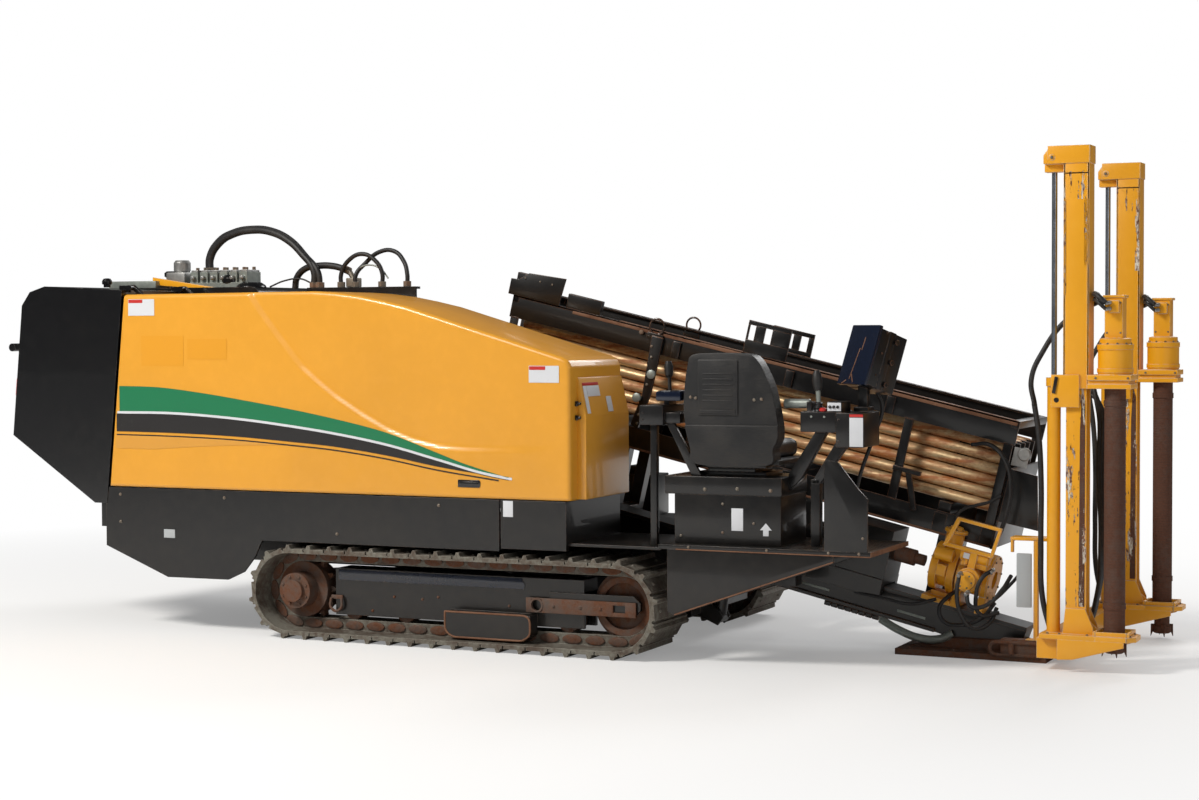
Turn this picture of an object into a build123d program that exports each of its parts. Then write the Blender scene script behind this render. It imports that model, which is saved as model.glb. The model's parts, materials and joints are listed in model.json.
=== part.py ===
from build123d import *
import math
import os

os.makedirs("parts", exist_ok=True)

# Horizontal directional drill on two tracks, in millimetres.
# +X is forward, towards the anchors; +Z is up; the operator sits on the -Y side ("near").
# The origin is on the ground, at the middle of the machine.

# Tracks
TRACK_OUT = 1030.0      # outer edge of the shoes, from the middle
SHOE_W = 460.0
TRACK_R = 265.0         # outside of the lugs round the wheels
REAR_X = -1305.0        # sprocket
FRONT_X = 695.0         # idler
SHOE_T = 16.0
LUG_H = 22.0
BELT_T = 8.0
LINK_H = 60.0
RAIL_W = 35.0           # one row of links
RAIL_GAP = 65.0         # between the two rows, for the sprocket's teeth
SHOES = 40
FIT = 0.3               # between pieces that seat on each other
TRACK_Y = TRACK_OUT - SHOE_W / 2
BELT_R = TRACK_R - LUG_H - SHOE_T
RAIL_R = BELT_R - BELT_T - LINK_H
RAIL_Y = (RAIL_GAP + RAIL_W) / 2
TRACK_Z = TRACK_R
ROLLER_R = 58.0
ROLLER_Z = TRACK_Z - RAIL_R + ROLLER_R + FIT
ROLLERS = 5
SIDE_W = 170.0          # width of the side frame
SIDE_WALL = 22.0
SIDE_TOP = 395.0

# Chassis
BEAM_Y = TRACK_OUT - SHOE_W - 195
BEAM_W = 100.0
BEAM_BOTTOM = 360.0
DECK_Z = 585.0          # underside of the deck
DECK_T = 15.0
DECK_REAR = -2580.0
DECK_FRONT = 950.0
DECK_HALF = TRACK_OUT - 60
DECK_TOP = DECK_Z + DECK_T
SLOT_HALF = 300.0       # open slot in the deck that the drill rail dips through
SLOT_REAR = -150.0
EYE_R = 24.0            # hole of the tow eye

# Hood, skirts and rear box
HOOD_NEAR = 30 - TRACK_OUT
HOOD_FAR = -335.0
HOOD_BOTTOM = 828.0
HOOD_TOP = 1955.0
HOOD_FRONT = 500.0
HOOD_REAR_TOP = -2437.0
HOOD_REAR_LOW = -2550.0
HOOD_WALL = 25.0
HOOD_BEND = -1150.0     # where the top starts to fall
HOOD_NOSE = 1577.0      # height of the top at the front
HINGE_X = -2440.0
HINGE_Z = 1990.0
HINGE_R = 9.0
HINGE_Y = (HOOD_NEAR + 80.0, HOOD_FAR - 80.0)
SKIRT_TOP = 822.0
SKIRT_T = 30.0
BOX_WALL = 30.0
BOX_BOTTOM = 725.0

# Drill rack, drawn level in its own frame (x along the rods, z square to them) and then tipped
RACK_ANGLE = 13.2
PIVOT_X = -744.0
PIVOT_Z = 544.5
RAIL_BOTTOM = 600.0
RAIL_TOP = 765.0
RAIL_HALF = 95.0
RAIL_REAR = -1880.0
RAIL_FRONT = 2560.0
AXIS_Z = 945.0          # height of the drilling axis
ROD_R = 30.0
JOINT_R = 32.85         # thicker ends, on which the rods lie on each other
JOINT_L = 130.0
ROD_LENGTH = 3000.0
ROD_REAR = -800.0
ROD_ROWS = 6
ROD_PITCH_Z = 66.0
ROD_COLUMNS = 5
ROD_PITCH_Y = 105.0
ROD_Y0 = 170.0
ROD_Z0 = 1303.0
BOX_NEAR = 100.0        # inner face of the rod box's near frame
BOX_FAR = 660.0
CARRIAGE_REAR = 1330.0
CARRIAGE_FRONT = 1760.0
SPINDLE_R = 44.0
VISE_REAR = 1985.0

# Anchors
ANCHOR_NEAR = -380.0
ANCHOR_FAR = 930.0
POST_X = 2995.0
POST_W = 130.0
POST_D = 120.0
POST_WALL = 10.0
SLIDE_FIT = 3.0
CAP_TOP = 2650.0
BRACKET_Z = 1430.0
BRACKET_T = 70.0
PLATE_Z = 165.0
PLATE_T = 25.0
PLATE_REAR = 2820.0
PLATE_FRONT = 3300.0
PLATE_HALF = 100.0
CYL_X = 2872.0
CAP_REAR = CYL_X - 45
CYL_R = 34.0
CYL_ROD_R = 14.0
AUGER_X = 3180.0
AUGER_R = 58.0
AUGER_HOLE = AUGER_R + 18   # half of the square hole in the base plate

# Operator's station
SEAT_X0 = 950.0
SEAT_X1 = 1587.0
SEAT_Y0 = -900.0
SEAT_Y1 = -502.0
FLOOR_Z = 620.0
FLOOR_T = 25.0
FLOOR_FRONT = 2100.0
SEAT_BOX_TOP = 973.0

RACK = Location((0, 0, 0), (0, RACK_ANGLE, 0))


def at_y(y):
    """A sketch plane square to Y; extruding it by w fills from y to y - w."""
    return Plane.XZ.offset(-y)


def save(solid, label, place=None):
    """Name a finished piece, tip it if it is on the rack, and write it."""
    if place is not None:
        solid = solid.moved(place)
    solid.label = label
    export_step(solid, f"parts/{label}.step")


def slab(x0, x1, y0, y1, z0, z1, mode=Mode.ADD):
    """A block given by its corners, inside a part being built."""
    with Locations(((x0 + x1) / 2, (y0 + y1) / 2, (z0 + z1) / 2)):
        Box(x1 - x0, y1 - y0, z1 - z0, mode=mode)


def pin(x, y0, y1, z, radius, mode=Mode.ADD):
    """A round bar along Y."""
    with Locations(Location((x, (y0 + y1) / 2, z), (90, 0, 0))):
        Cylinder(radius, y1 - y0, mode=mode)


def bar(x0, x1, y, z, radius, mode=Mode.ADD):
    """A round bar along X."""
    with Locations(Location(((x0 + x1) / 2, y, z), (0, 90, 0))):
        Cylinder(radius, x1 - x0, mode=mode)


def column(x, y, z0, z1, radius, mode=Mode.ADD):
    """A round upright bar."""
    with Locations((x, y, (z0 + z1) / 2)):
        Cylinder(radius, z1 - z0, mode=mode)


def plate(points, y0, y1, mode=Mode.ADD):
    """A flat plate cut to an outline in XZ, from y0 to y1."""
    with BuildSketch(at_y(y1)) as outline:
        with BuildLine():
            Polyline(*points, close=True)
        make_face()
    extrude(outline.sketch, amount=y1 - y0, mode=mode)


# Tracks and side frames

WHEELBASE = FRONT_X - REAR_X
TRACK_MID = (FRONT_X + REAR_X) / 2
LOOP = 2 * WHEELBASE + 2 * math.pi * BELT_R
SHOE_PITCH = LOOP / SHOES

# share of the pitch along the belt, height over the belt
SHOE_SECTION = [
    (-0.47, 0.0),
    (-0.47, SHOE_T),
    (0.14, SHOE_T),
    (0.20, SHOE_T + LUG_H),
    (0.32, SHOE_T + LUG_H),
    (0.38, SHOE_T),
    (0.47, SHOE_T),
    (0.47, 0.0),
]


def belt_frame(u):
    """Point and direction on the belt at a distance u from under the sprocket."""
    half_turn = math.pi * BELT_R
    u = u % LOOP
    if u < WHEELBASE:
        return REAR_X + u, TRACK_Z - BELT_R, 0.0
    u -= WHEELBASE
    if u < half_turn:
        turn = u / BELT_R
        return FRONT_X + BELT_R * math.sin(turn), TRACK_Z - BELT_R * math.cos(turn), turn
    u -= half_turn
    if u < WHEELBASE:
        return FRONT_X - u, TRACK_Z + BELT_R, math.pi
    turn = math.pi + (u - WHEELBASE) / BELT_R
    return REAR_X + BELT_R * math.sin(turn), TRACK_Z - BELT_R * math.cos(turn), turn


def shoe_outline():
    """The outside of the whole track, shoe by shoe."""
    points = []
    for shoe in range(SHOES):
        x, z, turn = belt_frame((shoe + 0.5) * SHOE_PITCH)
        for along, out in SHOE_SECTION:
            step = along * SHOE_PITCH
            points.append((
                x + step * math.cos(turn) + out * math.sin(turn),
                z + step * math.sin(turn) - out * math.cos(turn),
            ))
    return points


def make_track(mid_y):
    with BuildPart() as track:
        with BuildSketch(at_y(mid_y + SHOE_W / 2)):
            with BuildLine():
                Polyline(*shoe_outline(), close=True)
            make_face()
            with Locations((TRACK_MID, TRACK_Z)):
                SlotCenterToCenter(WHEELBASE, 2 * (BELT_R - BELT_T), mode=Mode.SUBTRACT)
        extrude(amount=SHOE_W)
        for row in (-RAIL_Y, RAIL_Y):
            with BuildSketch(at_y(mid_y + row + RAIL_W / 2)):
                with Locations((TRACK_MID, TRACK_Z)):
                    SlotCenterToCenter(WHEELBASE, 2 * (BELT_R - BELT_T))
                    SlotCenterToCenter(WHEELBASE, 2 * RAIL_R, mode=Mode.SUBTRACT)
            extrude(amount=RAIL_W)
    return track.part


def make_sprocket(mid_y, out):
    """Drum under the links, teeth between them, and the drive's hub on the outside."""
    drum_half = RAIL_Y + RAIL_W / 2
    tooth_half = RAIL_GAP / 2 - 10
    with BuildPart() as sprocket:
        pin(REAR_X, mid_y - drum_half, mid_y + drum_half, TRACK_Z, RAIL_R - FIT)
        with BuildSketch(at_y(mid_y + tooth_half)):
            with Locations((REAR_X, TRACK_Z)):
                with PolarLocations(RAIL_R + 8, 13):
                    Trapezoid(44, 40, 68, rotation=-90)
        extrude(amount=2 * tooth_half)
        hub = sorted((mid_y + out * drum_half, mid_y + out * (drum_half + 95)))
        pin(REAR_X, *hub, TRACK_Z, 100)
        cap = sorted((mid_y + out * (drum_half + 95), mid_y + out * (drum_half + 120)))
        pin(REAR_X, *cap, TRACK_Z, 62)
    return sprocket.part


def make_idler(mid_y):
    drum_half = RAIL_Y + RAIL_W / 2
    with BuildPart() as idler:
        pin(FRONT_X, mid_y - drum_half, mid_y + drum_half, TRACK_Z, RAIL_R - FIT)
        pin(FRONT_X, mid_y - 22, mid_y + 22, TRACK_Z, RAIL_R + 30)
        for face in (-1, 1):
            y0, y1 = sorted((mid_y + face * drum_half, mid_y + face * (drum_half - 30)))
            pin(FRONT_X, y0, y1, TRACK_Z, 125, mode=Mode.SUBTRACT)
        pin(FRONT_X, mid_y - 75, mid_y + 75, TRACK_Z, 60)
    return idler.part


def make_side_frame(mid_y, out):
    """Inverted U over the rollers, with the idler's yoke, the drive's arm and the guard step."""
    half = SIDE_W / 2
    beam_rear = REAR_X + 225
    beam_front = FRONT_X - 225
    roller_room = ROLLER_Z + ROLLER_R + 8
    with BuildPart() as frame:
        slab(beam_rear, beam_front, mid_y - half, mid_y + half, ROLLER_Z - 30, SIDE_TOP)
        slab(beam_rear, beam_front, mid_y - half + SIDE_WALL, mid_y + half - SIDE_WALL,
             ROLLER_Z - 30, roller_room, mode=Mode.SUBTRACT)
        yoke = [(beam_front - 200, 215), (FRONT_X + 70, 215), (FRONT_X + 110, 250),
                (FRONT_X + 110, 290), (FRONT_X + 70, 325), (beam_front - 200, 325)]
        for face in (-1, 1):
            y0, y1 = sorted((mid_y + face * (75 + FIT), mid_y + face * (75 + FIT + 25)))
            plate(yoke, y0, y1)
        arm = [(beam_rear + 150, 160), (REAR_X - 60, 170), (REAR_X - 110, 265),
               (REAR_X - 60, 360), (beam_rear + 150, SIDE_TOP)]
        inner = -out * (RAIL_Y + RAIL_W / 2 + FIT)
        y0, y1 = sorted((mid_y + inner, mid_y + inner - out * 30))
        plate(arm, y0, y1)
        y0, y1 = sorted((mid_y + inner - out * 30, mid_y + inner - out * 110))
        pin(REAR_X, y0, y1, TRACK_Z, 105)
        step = [(-330, 90), (-290, 60), (150, 60), (190, 90), (190, 200), (-330, 200)]
        y0, y1 = sorted((mid_y + out * half, mid_y + out * (half + 90)))
        plate(step, y0, y1)
    return frame.part


def make_rollers(mid_y):
    """Lower rollers on the links, and one upper roller."""
    half = SIDE_W / 2 - SIDE_WALL - FIT
    first = REAR_X + 330
    span = WHEELBASE - 660
    with BuildPart() as rollers:
        for number in range(ROLLERS):
            x = first + span * number / (ROLLERS - 1)
            pin(x, mid_y - half, mid_y + half, ROLLER_Z, ROLLER_R)
            pin(x, mid_y - 18, mid_y + 18, ROLLER_Z, ROLLER_R - 14, mode=Mode.SUBTRACT)
            pin(x, mid_y - 20, mid_y + 20, ROLLER_Z, ROLLER_R - 22)
    return rollers.part


for side, out in (("near", -1), ("far", 1)):
    mid = out * TRACK_Y
    save(make_track(mid), f"track_{side}")
    save(make_sprocket(mid, out), f"sprocket_{side}")
    save(make_idler(mid), f"idler_{side}")
    save(make_side_frame(mid, out), f"side_frame_{side}")
    save(make_rollers(mid), f"rollers_{side}")


# Chassis

rack_tip = math.radians(RACK_ANGLE)


def level_point(x, z):
    """The same point of the tipped rack, in the level drawing."""
    return (x * math.cos(rack_tip) - z * math.sin(rack_tip),
            z * math.cos(rack_tip) + x * math.sin(rack_tip))


def rack_point(x, z):
    """Where a point of the level rack is once the rack is tipped, as X and Z."""
    return (x * math.cos(rack_tip) + z * math.sin(rack_tip),
            z * math.cos(rack_tip) - x * math.sin(rack_tip))


pivot = rack_point(PIVOT_X, PIVOT_Z)
LUG_HALF = 60.0
CHEEK_T = 28.0
PIVOT_PIN_R = 28.0
TILT_Y = -235.0
TILT_ARM = -165.0       # inner face of the arm that stands beside the carriage
EYE_HALF = 40.0
TILT_PIN_R = 18.0
TILT_PIN = (890.0, 900.0)
TILT_LOW = (990.0, 150.0)

with BuildPart() as chassis:
    for y, front in ((-BEAM_Y, 1500), (BEAM_Y, 900)):
        slab(DECK_REAR + 80, front, y - BEAM_W / 2, y + BEAM_W / 2, BEAM_BOTTOM, DECK_Z)
        slab(820, 900, y - BEAM_W / 2, y + BEAM_W / 2, 170, BEAM_BOTTOM)
    for x in (DECK_REAR + 130, -1700, -820, -300):
        slab(x - 50, x + 50, -BEAM_Y, BEAM_Y, BEAM_BOTTOM + 20, DECK_Z)
    slab(820, 900, -BEAM_Y, BEAM_Y, 170, 290)
    for x in (-780, 150):
        pin(x, -TRACK_Y + SIDE_W / 2, TRACK_Y - SIDE_W / 2, 300, 75)
    # deck over the tracks, open where the drill rail dips through it
    slab(DECK_REAR, DECK_FRONT, -DECK_HALF, DECK_HALF, DECK_Z, DECK_TOP)
    slab(SLOT_REAR, DECK_FRONT, -SLOT_HALF, SLOT_HALF, DECK_Z, DECK_TOP, mode=Mode.SUBTRACT)
    # pad under the operator's platform, and sill under the rear box
    slab(1000, 1480, -BEAM_Y - BEAM_W / 2, -BEAM_Y + BEAM_W / 2, DECK_Z, FLOOR_Z - FLOOR_T)
    slab(DECK_REAR - 60, DECK_REAR, -DECK_HALF, HOOD_FAR, DECK_Z, BOX_BOTTOM)
    # cheeks and pin that carry the drill rail
    cheek = [(pivot[0] - 120, DECK_TOP), (pivot[0] - 42, pivot[1]),
             (pivot[0] + 42, pivot[1]), (pivot[0] + 120, DECK_TOP)]
    for y in (-LUG_HALF - 6 - CHEEK_T, LUG_HALF + 6):
        plate(cheek, y, y + CHEEK_T)
        pin(pivot[0], y, y + CHEEK_T, pivot[1], 45)
    pin(pivot[0], -LUG_HALF - 6 - CHEEK_T, LUG_HALF + 6 + CHEEK_T, pivot[1], PIVOT_PIN_R)
    # ears and pin for the tilt cylinder
    for y in (TILT_Y - EYE_HALF - 20, TILT_Y + EYE_HALF + 2):
        plate([(860, 170), (TILT_LOW[0] + 10, TILT_LOW[1] - 42),
               (TILT_LOW[0] + 42, TILT_LOW[1]), (TILT_LOW[0] + 20, TILT_LOW[1] + 42),
               (860, 290)], y, y + 18)
    pin(TILT_LOW[0], TILT_Y - EYE_HALF - 20, TILT_Y + EYE_HALF + 20, TILT_LOW[1], TILT_PIN_R)
save(chassis.part, "chassis_frame")

with BuildPart() as tow_eye:
    plate([(DECK_REAR + 80, 400), (DECK_REAR + 20, 400), (DECK_REAR - 20, 440),
           (DECK_REAR - 20, 500), (DECK_REAR + 20, 540), (DECK_REAR + 80, 540)], -15, 15)
    pin(DECK_REAR + 25, -15, 15, 470, EYE_R, mode=Mode.SUBTRACT)
save(tow_eye.part, "tow_eye")


# Skirts, hood and rear box

with BuildPart() as skirt_rear:
    outline = [(-2562, SKIRT_TOP), (-2574, 722), (-2584, 722), (-2584, 477), (-2147, 308), (-1730, 311),
               (-1620, 360), (-1545, 450), (-1497, 545), (20, 545), (20, SKIRT_TOP)]
    plate(outline, HOOD_NEAR, HOOD_NEAR + 14)
    slab(-2560, 20, HOOD_NEAR + 14, HOOD_NEAR + 60, DECK_TOP, DECK_TOP + 12)
    slab(-2550, 20, HOOD_NEAR + 14, HOOD_NEAR + 60, SKIRT_TOP - 30, SKIRT_TOP)
    for x in (-2540, -1300, -40):
        slab(x - 10, x + 10, HOOD_NEAR + 14, HOOD_NEAR + 60, DECK_TOP, SKIRT_TOP)
save(skirt_rear.part, "side_skirt_rear")

with BuildPart() as skirt_front:
    slab(30, 420, HOOD_NEAR, HOOD_NEAR + SKIRT_T, 560, SKIRT_TOP)
    slab(390, 420, HOOD_NEAR + SKIRT_T, HOOD_FAR + 30, DECK_TOP, SKIRT_TOP)
save(skirt_front.part, "side_skirt_front")


def hood_outline(inset, over):
    """Side view of the hood; over lets the inner form run out of the open bottom and rear."""
    rear_top = HOOD_REAR_TOP - over
    rear_low = HOOD_REAR_LOW - over
    top = HOOD_TOP - inset
    nose = HOOD_NOSE - inset
    front = HOOD_FRONT - inset
    with BuildLine() as line:
        falling = math.radians(16.2)
        run = 600.0
        bend_end = (HOOD_BEND + run, top - run * math.tan(falling / 2))
        Line((rear_low, HOOD_BOTTOM - over), (rear_top, top - 6))
        Line((rear_top, top - 6), (HOOD_BEND, top))
        arc = ThreePointArc((HOOD_BEND, top),
                            (HOOD_BEND + run * 0.52, top - run * 0.52 * math.tan(falling * 0.26)),
                            bend_end)
        Line(bend_end, (front - 60, nose))
        Line((front - 60, nose), (front - 12, nose - 45))
        Line((front - 12, nose - 45), (front, HOOD_BOTTOM - over))
        Line((front, HOOD_BOTTOM - over), (rear_low, HOOD_BOTTOM - over))
    return line


with BuildPart() as hood:
    with BuildSketch(at_y(HOOD_FAR)):
        add(hood_outline(0, 0))
        make_face()
    extrude(amount=HOOD_FAR - HOOD_NEAR)
    rims = hood.edges().filter_by(Plane.XZ).group_by(Axis.Y)[0]
    top_rims = [e for e in rims if e.center().Z > HOOD_NOSE - 60]
    chamfer(top_rims, length=34, length2=26)
    with BuildSketch(at_y(HOOD_FAR - HOOD_WALL)):
        add(hood_outline(HOOD_WALL, 40))
        make_face()
    extrude(amount=HOOD_FAR - HOOD_NEAR - 2 * HOOD_WALL - 10, mode=Mode.SUBTRACT)
    for y in HINGE_Y:
        pin(HINGE_X, y, y + 24, HINGE_Z, HINGE_R + 7)
        plate([(HINGE_X, HINGE_Z - 12), (HINGE_X + 40, 1944), (HINGE_X + 75, 1944),
               (HINGE_X, HINGE_Z + 15)], y, y + 24)
        pin(HINGE_X, y, y + 24, HINGE_Z, HINGE_R + FIT, mode=Mode.SUBTRACT)
save(hood.part, "hood")

BOX_OUTLINE = [(-2578, BOX_BOTTOM), (-2665, BOX_BOTTOM), (-3266, 1114), (-3190, 1890),
               (-3130, 1970), (-3020, 2003), (-2455, 1975)]
BOX_INNER = [(-2520, 770), (-2672, 762), (-3228, 1128), (-3162, 1876),
             (-3112, 1942), (-3018, 1970), (-2420, 1942)]

with BuildPart() as rear_box:
    plate(BOX_OUTLINE, HOOD_NEAR, HOOD_FAR)
    plate(BOX_INNER, HOOD_NEAR + BOX_WALL, HOOD_FAR - BOX_WALL, mode=Mode.SUBTRACT)
    slab(-3300, -3150, HOOD_NEAR + 90, HOOD_FAR - 90, 1190, 1820, mode=Mode.SUBTRACT)
    pin(-3276, HOOD_NEAR + 10, HOOD_NEAR + 70, 1640, 24)
    slab(-3276, -3200, HOOD_NEAR + 15, HOOD_NEAR + 65, 1625, 1655)
    for y in HINGE_Y:
        slab(-2510, HINGE_X - 4, y - 30, y - 4, 1962, 2003)
        pin(HINGE_X, y - 30, y - 4, HINGE_Z, HINGE_R + 7)
        pin(HINGE_X, y - 30, y + 24, HINGE_Z, HINGE_R)
save(rear_box.part, "rear_box")

with BuildPart() as grille:
    for number in range(12):
        z = 1215 + number * 52
        x = -3255 + (z - 1114) * 76 / 776
        with Locations(Location((x + 16, (HOOD_NEAR + HOOD_FAR) / 2, z), (0, 30, 0))):
            Box(42, HOOD_FAR - HOOD_NEAR - 181, 6)
    for y in (HOOD_NEAR + 96, (HOOD_NEAR + HOOD_FAR) / 2, HOOD_FAR - 96):
        plate([(-3246, 1195), (-3222, 1195), (-3164, 1815), (-3188, 1815)], y - 5, y + 5)
save(grille.part, "rear_grille")

with BuildPart() as cooler:
    slab(-3020, -2860, HOOD_NEAR + BOX_WALL + FIT, HOOD_FAR - BOX_WALL - FIT, 1020, 1880)
save(cooler.part, "cooler_core")

with BuildPart() as engine:
    slab(-2350, -900, -860, -460, DECK_TOP + 160, 1560)
    for x in (-2200, -1050):
        for y in (-800, -520):
            slab(x - 50, x + 50, y - 40, y + 40, DECK_TOP, DECK_TOP + 160)
save(engine.part, "engine_block")


# Tanks, pump and hoses behind the hood

TANK_FRONT = -1960.0
PUMP_X = DECK_REAR + 270
VALVE_REAR = -2560.0

with BuildPart() as oil_tank:
    plate([(TANK_FRONT, 640), (-2600, 640), (-2700, 760), (-3180, 1085), (-3180, 2000),
           (TANK_FRONT, 2000)], HOOD_FAR + 25, 460)
    fillet(oil_tank.edges().filter_by(Axis.Y).group_by(Axis.Z)[-1], radius=60)
    column(-2850, 60, 2000, 2055, 70)
    column(-2850, 60, 2055, 2075, 45)
    for y in (HOOD_FAR + 40, 400):
        slab(DECK_REAR, TANK_FRONT, y, y + 50, DECK_TOP, 640)
save(oil_tank.part, "oil_tank")

with BuildPart() as fuel_tank:
    slab(-1940, -960, 560, DECK_HALF, DECK_TOP, 1250)
    fillet(fuel_tank.edges().filter_by(Axis.X), radius=45)
    column(-1200, 780, 1250, 1290, 45)
save(fuel_tank.part, "fuel_tank")

with BuildPart() as mud_pump:
    slab(PUMP_X - 250, PUMP_X + 250, 520, 960, DECK_TOP, DECK_TOP + 60)
    slab(PUMP_X - 210, PUMP_X + 90, 560, 920, DECK_TOP + 60, 1010)
    for y in (620, 740, 860):
        bar(PUMP_X + 90, PUMP_X + 230, y, 780, 48)
        column(PUMP_X + 190, y, 798, 900, 30)
    bar(PUMP_X - 330, PUMP_X - 210, 740, 880, 90)
save(mud_pump.part, "mud_pump")

with BuildPart() as valve_bank:
    slab(VALVE_REAR, VALVE_REAR + 440, -250, -60, 2000, 2030)
    for number in range(6):
        x = VALVE_REAR + 40 + number * 72
        slab(x, x + 56, -230, -80, 2030, 2095)
save(valve_bank.part, "valve_bank")

SHELF_Z = 1990.0
SHELF_Y = HOOD_FAR + 52

with BuildPart() as bulkhead:
    slab(-1620, -880, HOOD_FAR + 22, HOOD_FAR + 42, DECK_TOP, SHELF_Z)
    slab(-1620, -880, HOOD_FAR + 22, HOOD_FAR + 82, SHELF_Z - 14, SHELF_Z)
    slab(-1620, -880, HOOD_FAR + 22, HOOD_FAR + 82, DECK_TOP, DECK_TOP + 30)
save(bulkhead.part, "hose_bulkhead")


def hose(points, radius):
    """A hose along straight runs joined by large arcs."""
    radii = []
    for before, corner, after in zip(points, points[1:], points[2:]):
        a = Vector(*corner) - Vector(*before)
        b = Vector(*after) - Vector(*corner)
        turn = math.radians(a.get_angle(b))
        radii.append(0.45 * min(a.length, b.length) / math.tan(turn / 2))
    with BuildPart() as tube:
        with BuildLine() as route:
            FilletPolyline(*points, radius=radii)
        with BuildSketch(Plane(origin=route.line @ 0, z_dir=route.line % 0)):
            Circle(radius)
        sweep()
    return tube.part


ARCH = [(-2420, -155, 2095), (-2420, -155, 2180), (-2350, -165, 2270), (-2230, -185, 2325),
        (-2080, -205, 2345), (-1930, -228, 2330), (-1790, -250, 2275), (-1680, -268, 2190),
        (-1590, SHELF_Y, 2090), (-1590, SHELF_Y, SHELF_Z)]
save(hose(ARCH, 21), "arch_hose")

LOOPS = [
    [(-1400, SHELF_Y, SHELF_Z), (-1400, SHELF_Y, 2070), (-1345, SHELF_Y - 2, 2150),
     (-1250, SHELF_Y - 4, 2185), (-1165, SHELF_Y - 2, 2145), (-1120, SHELF_Y, 2075),
     (-1120, SHELF_Y, SHELF_Z)],
    [(-1300, SHELF_Y, SHELF_Z), (-1300, SHELF_Y, 2060), (-1255, SHELF_Y + 34, 2130),
     (-1165, SHELF_Y + 40, 2195), (-1060, SHELF_Y + 36, 2200), (-985, SHELF_Y + 20, 2140),
     (-950, SHELF_Y, 2065), (-950, SHELF_Y, SHELF_Z)],
]
save(Compound(children=[hose(loop, 13) for loop in LOOPS]), "deck_hoses")


# Drill rack: everything below is drawn level and tipped when it is written

SEAT_Z = 88.0           # where the rail's nose sits on the ground skid, level
SEAT_REAR = 2240.0
SEAT_FRONT = 2640.0
SKID_TOP = 32.0

with BuildPart() as rail:
    beam = [(RAIL_REAR, RAIL_BOTTOM), (RAIL_REAR, RAIL_TOP), (RAIL_FRONT, RAIL_TOP),
            level_point(SEAT_FRONT, SEAT_Z), level_point(SEAT_REAR, SEAT_Z),
            (2080, RAIL_BOTTOM)]
    plate(beam, -RAIL_HALF + 20, RAIL_HALF - 20)
    slab(RAIL_REAR, RAIL_FRONT, -RAIL_HALF, RAIL_HALF, RAIL_TOP - 22, RAIL_TOP)
    slab(RAIL_REAR, 2080, -RAIL_HALF, RAIL_HALF, RAIL_BOTTOM, RAIL_BOTTOM + 18)
    slab(TILT_PIN[0] - 60, TILT_PIN[0] + 60, TILT_ARM - 20, -RAIL_HALF + 22, 620, 700)
    slab(TILT_PIN[0] - 40, TILT_PIN[0] + 40, TILT_ARM - 20, TILT_ARM, 620, TILT_PIN[1])
    pin(TILT_PIN[0], TILT_ARM - 20, TILT_ARM, TILT_PIN[1], 40)
    pin(TILT_PIN[0], TILT_Y - EYE_HALF, TILT_ARM, TILT_PIN[1], TILT_PIN_R)
    plate([(PIVOT_X - 120, RAIL_BOTTOM), (PIVOT_X - 50, PIVOT_Z - 50),
           (PIVOT_X + 50, PIVOT_Z - 50), (PIVOT_X + 120, RAIL_BOTTOM)], -LUG_HALF, LUG_HALF)
    pin(PIVOT_X, -LUG_HALF, LUG_HALF, PIVOT_Z, PIVOT_PIN_R + FIT, mode=Mode.SUBTRACT)
save(rail.part, "drill_rail", RACK)

BOX_REAR = ROD_REAR - 60
BOX_FRONT = ROD_REAR + ROD_LENGTH + 40
ROD_BED = ROD_Z0 - JOINT_R - FIT
FRAME_T = 40.0
TOP_RAIL_LOW = 1662.0
TOP_RAIL_TOP = 1795.0
LOW_RAIL_LOW = 1095.0
LOW_RAIL_TOP = 1220.0
OUTRIGGERS = (-820.0, -80.0, 1000.0, 1900.0)

with BuildPart() as cradle:
    for x in OUTRIGGERS:
        slab(x, x + 70, RAIL_HALF - 20, 640, 620, 700)
        for y in (250, 570):
            slab(x, x + 70, y, y + 70, 700, LOW_RAIL_LOW)
save(cradle.part, "rack_cradle", RACK)

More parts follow.
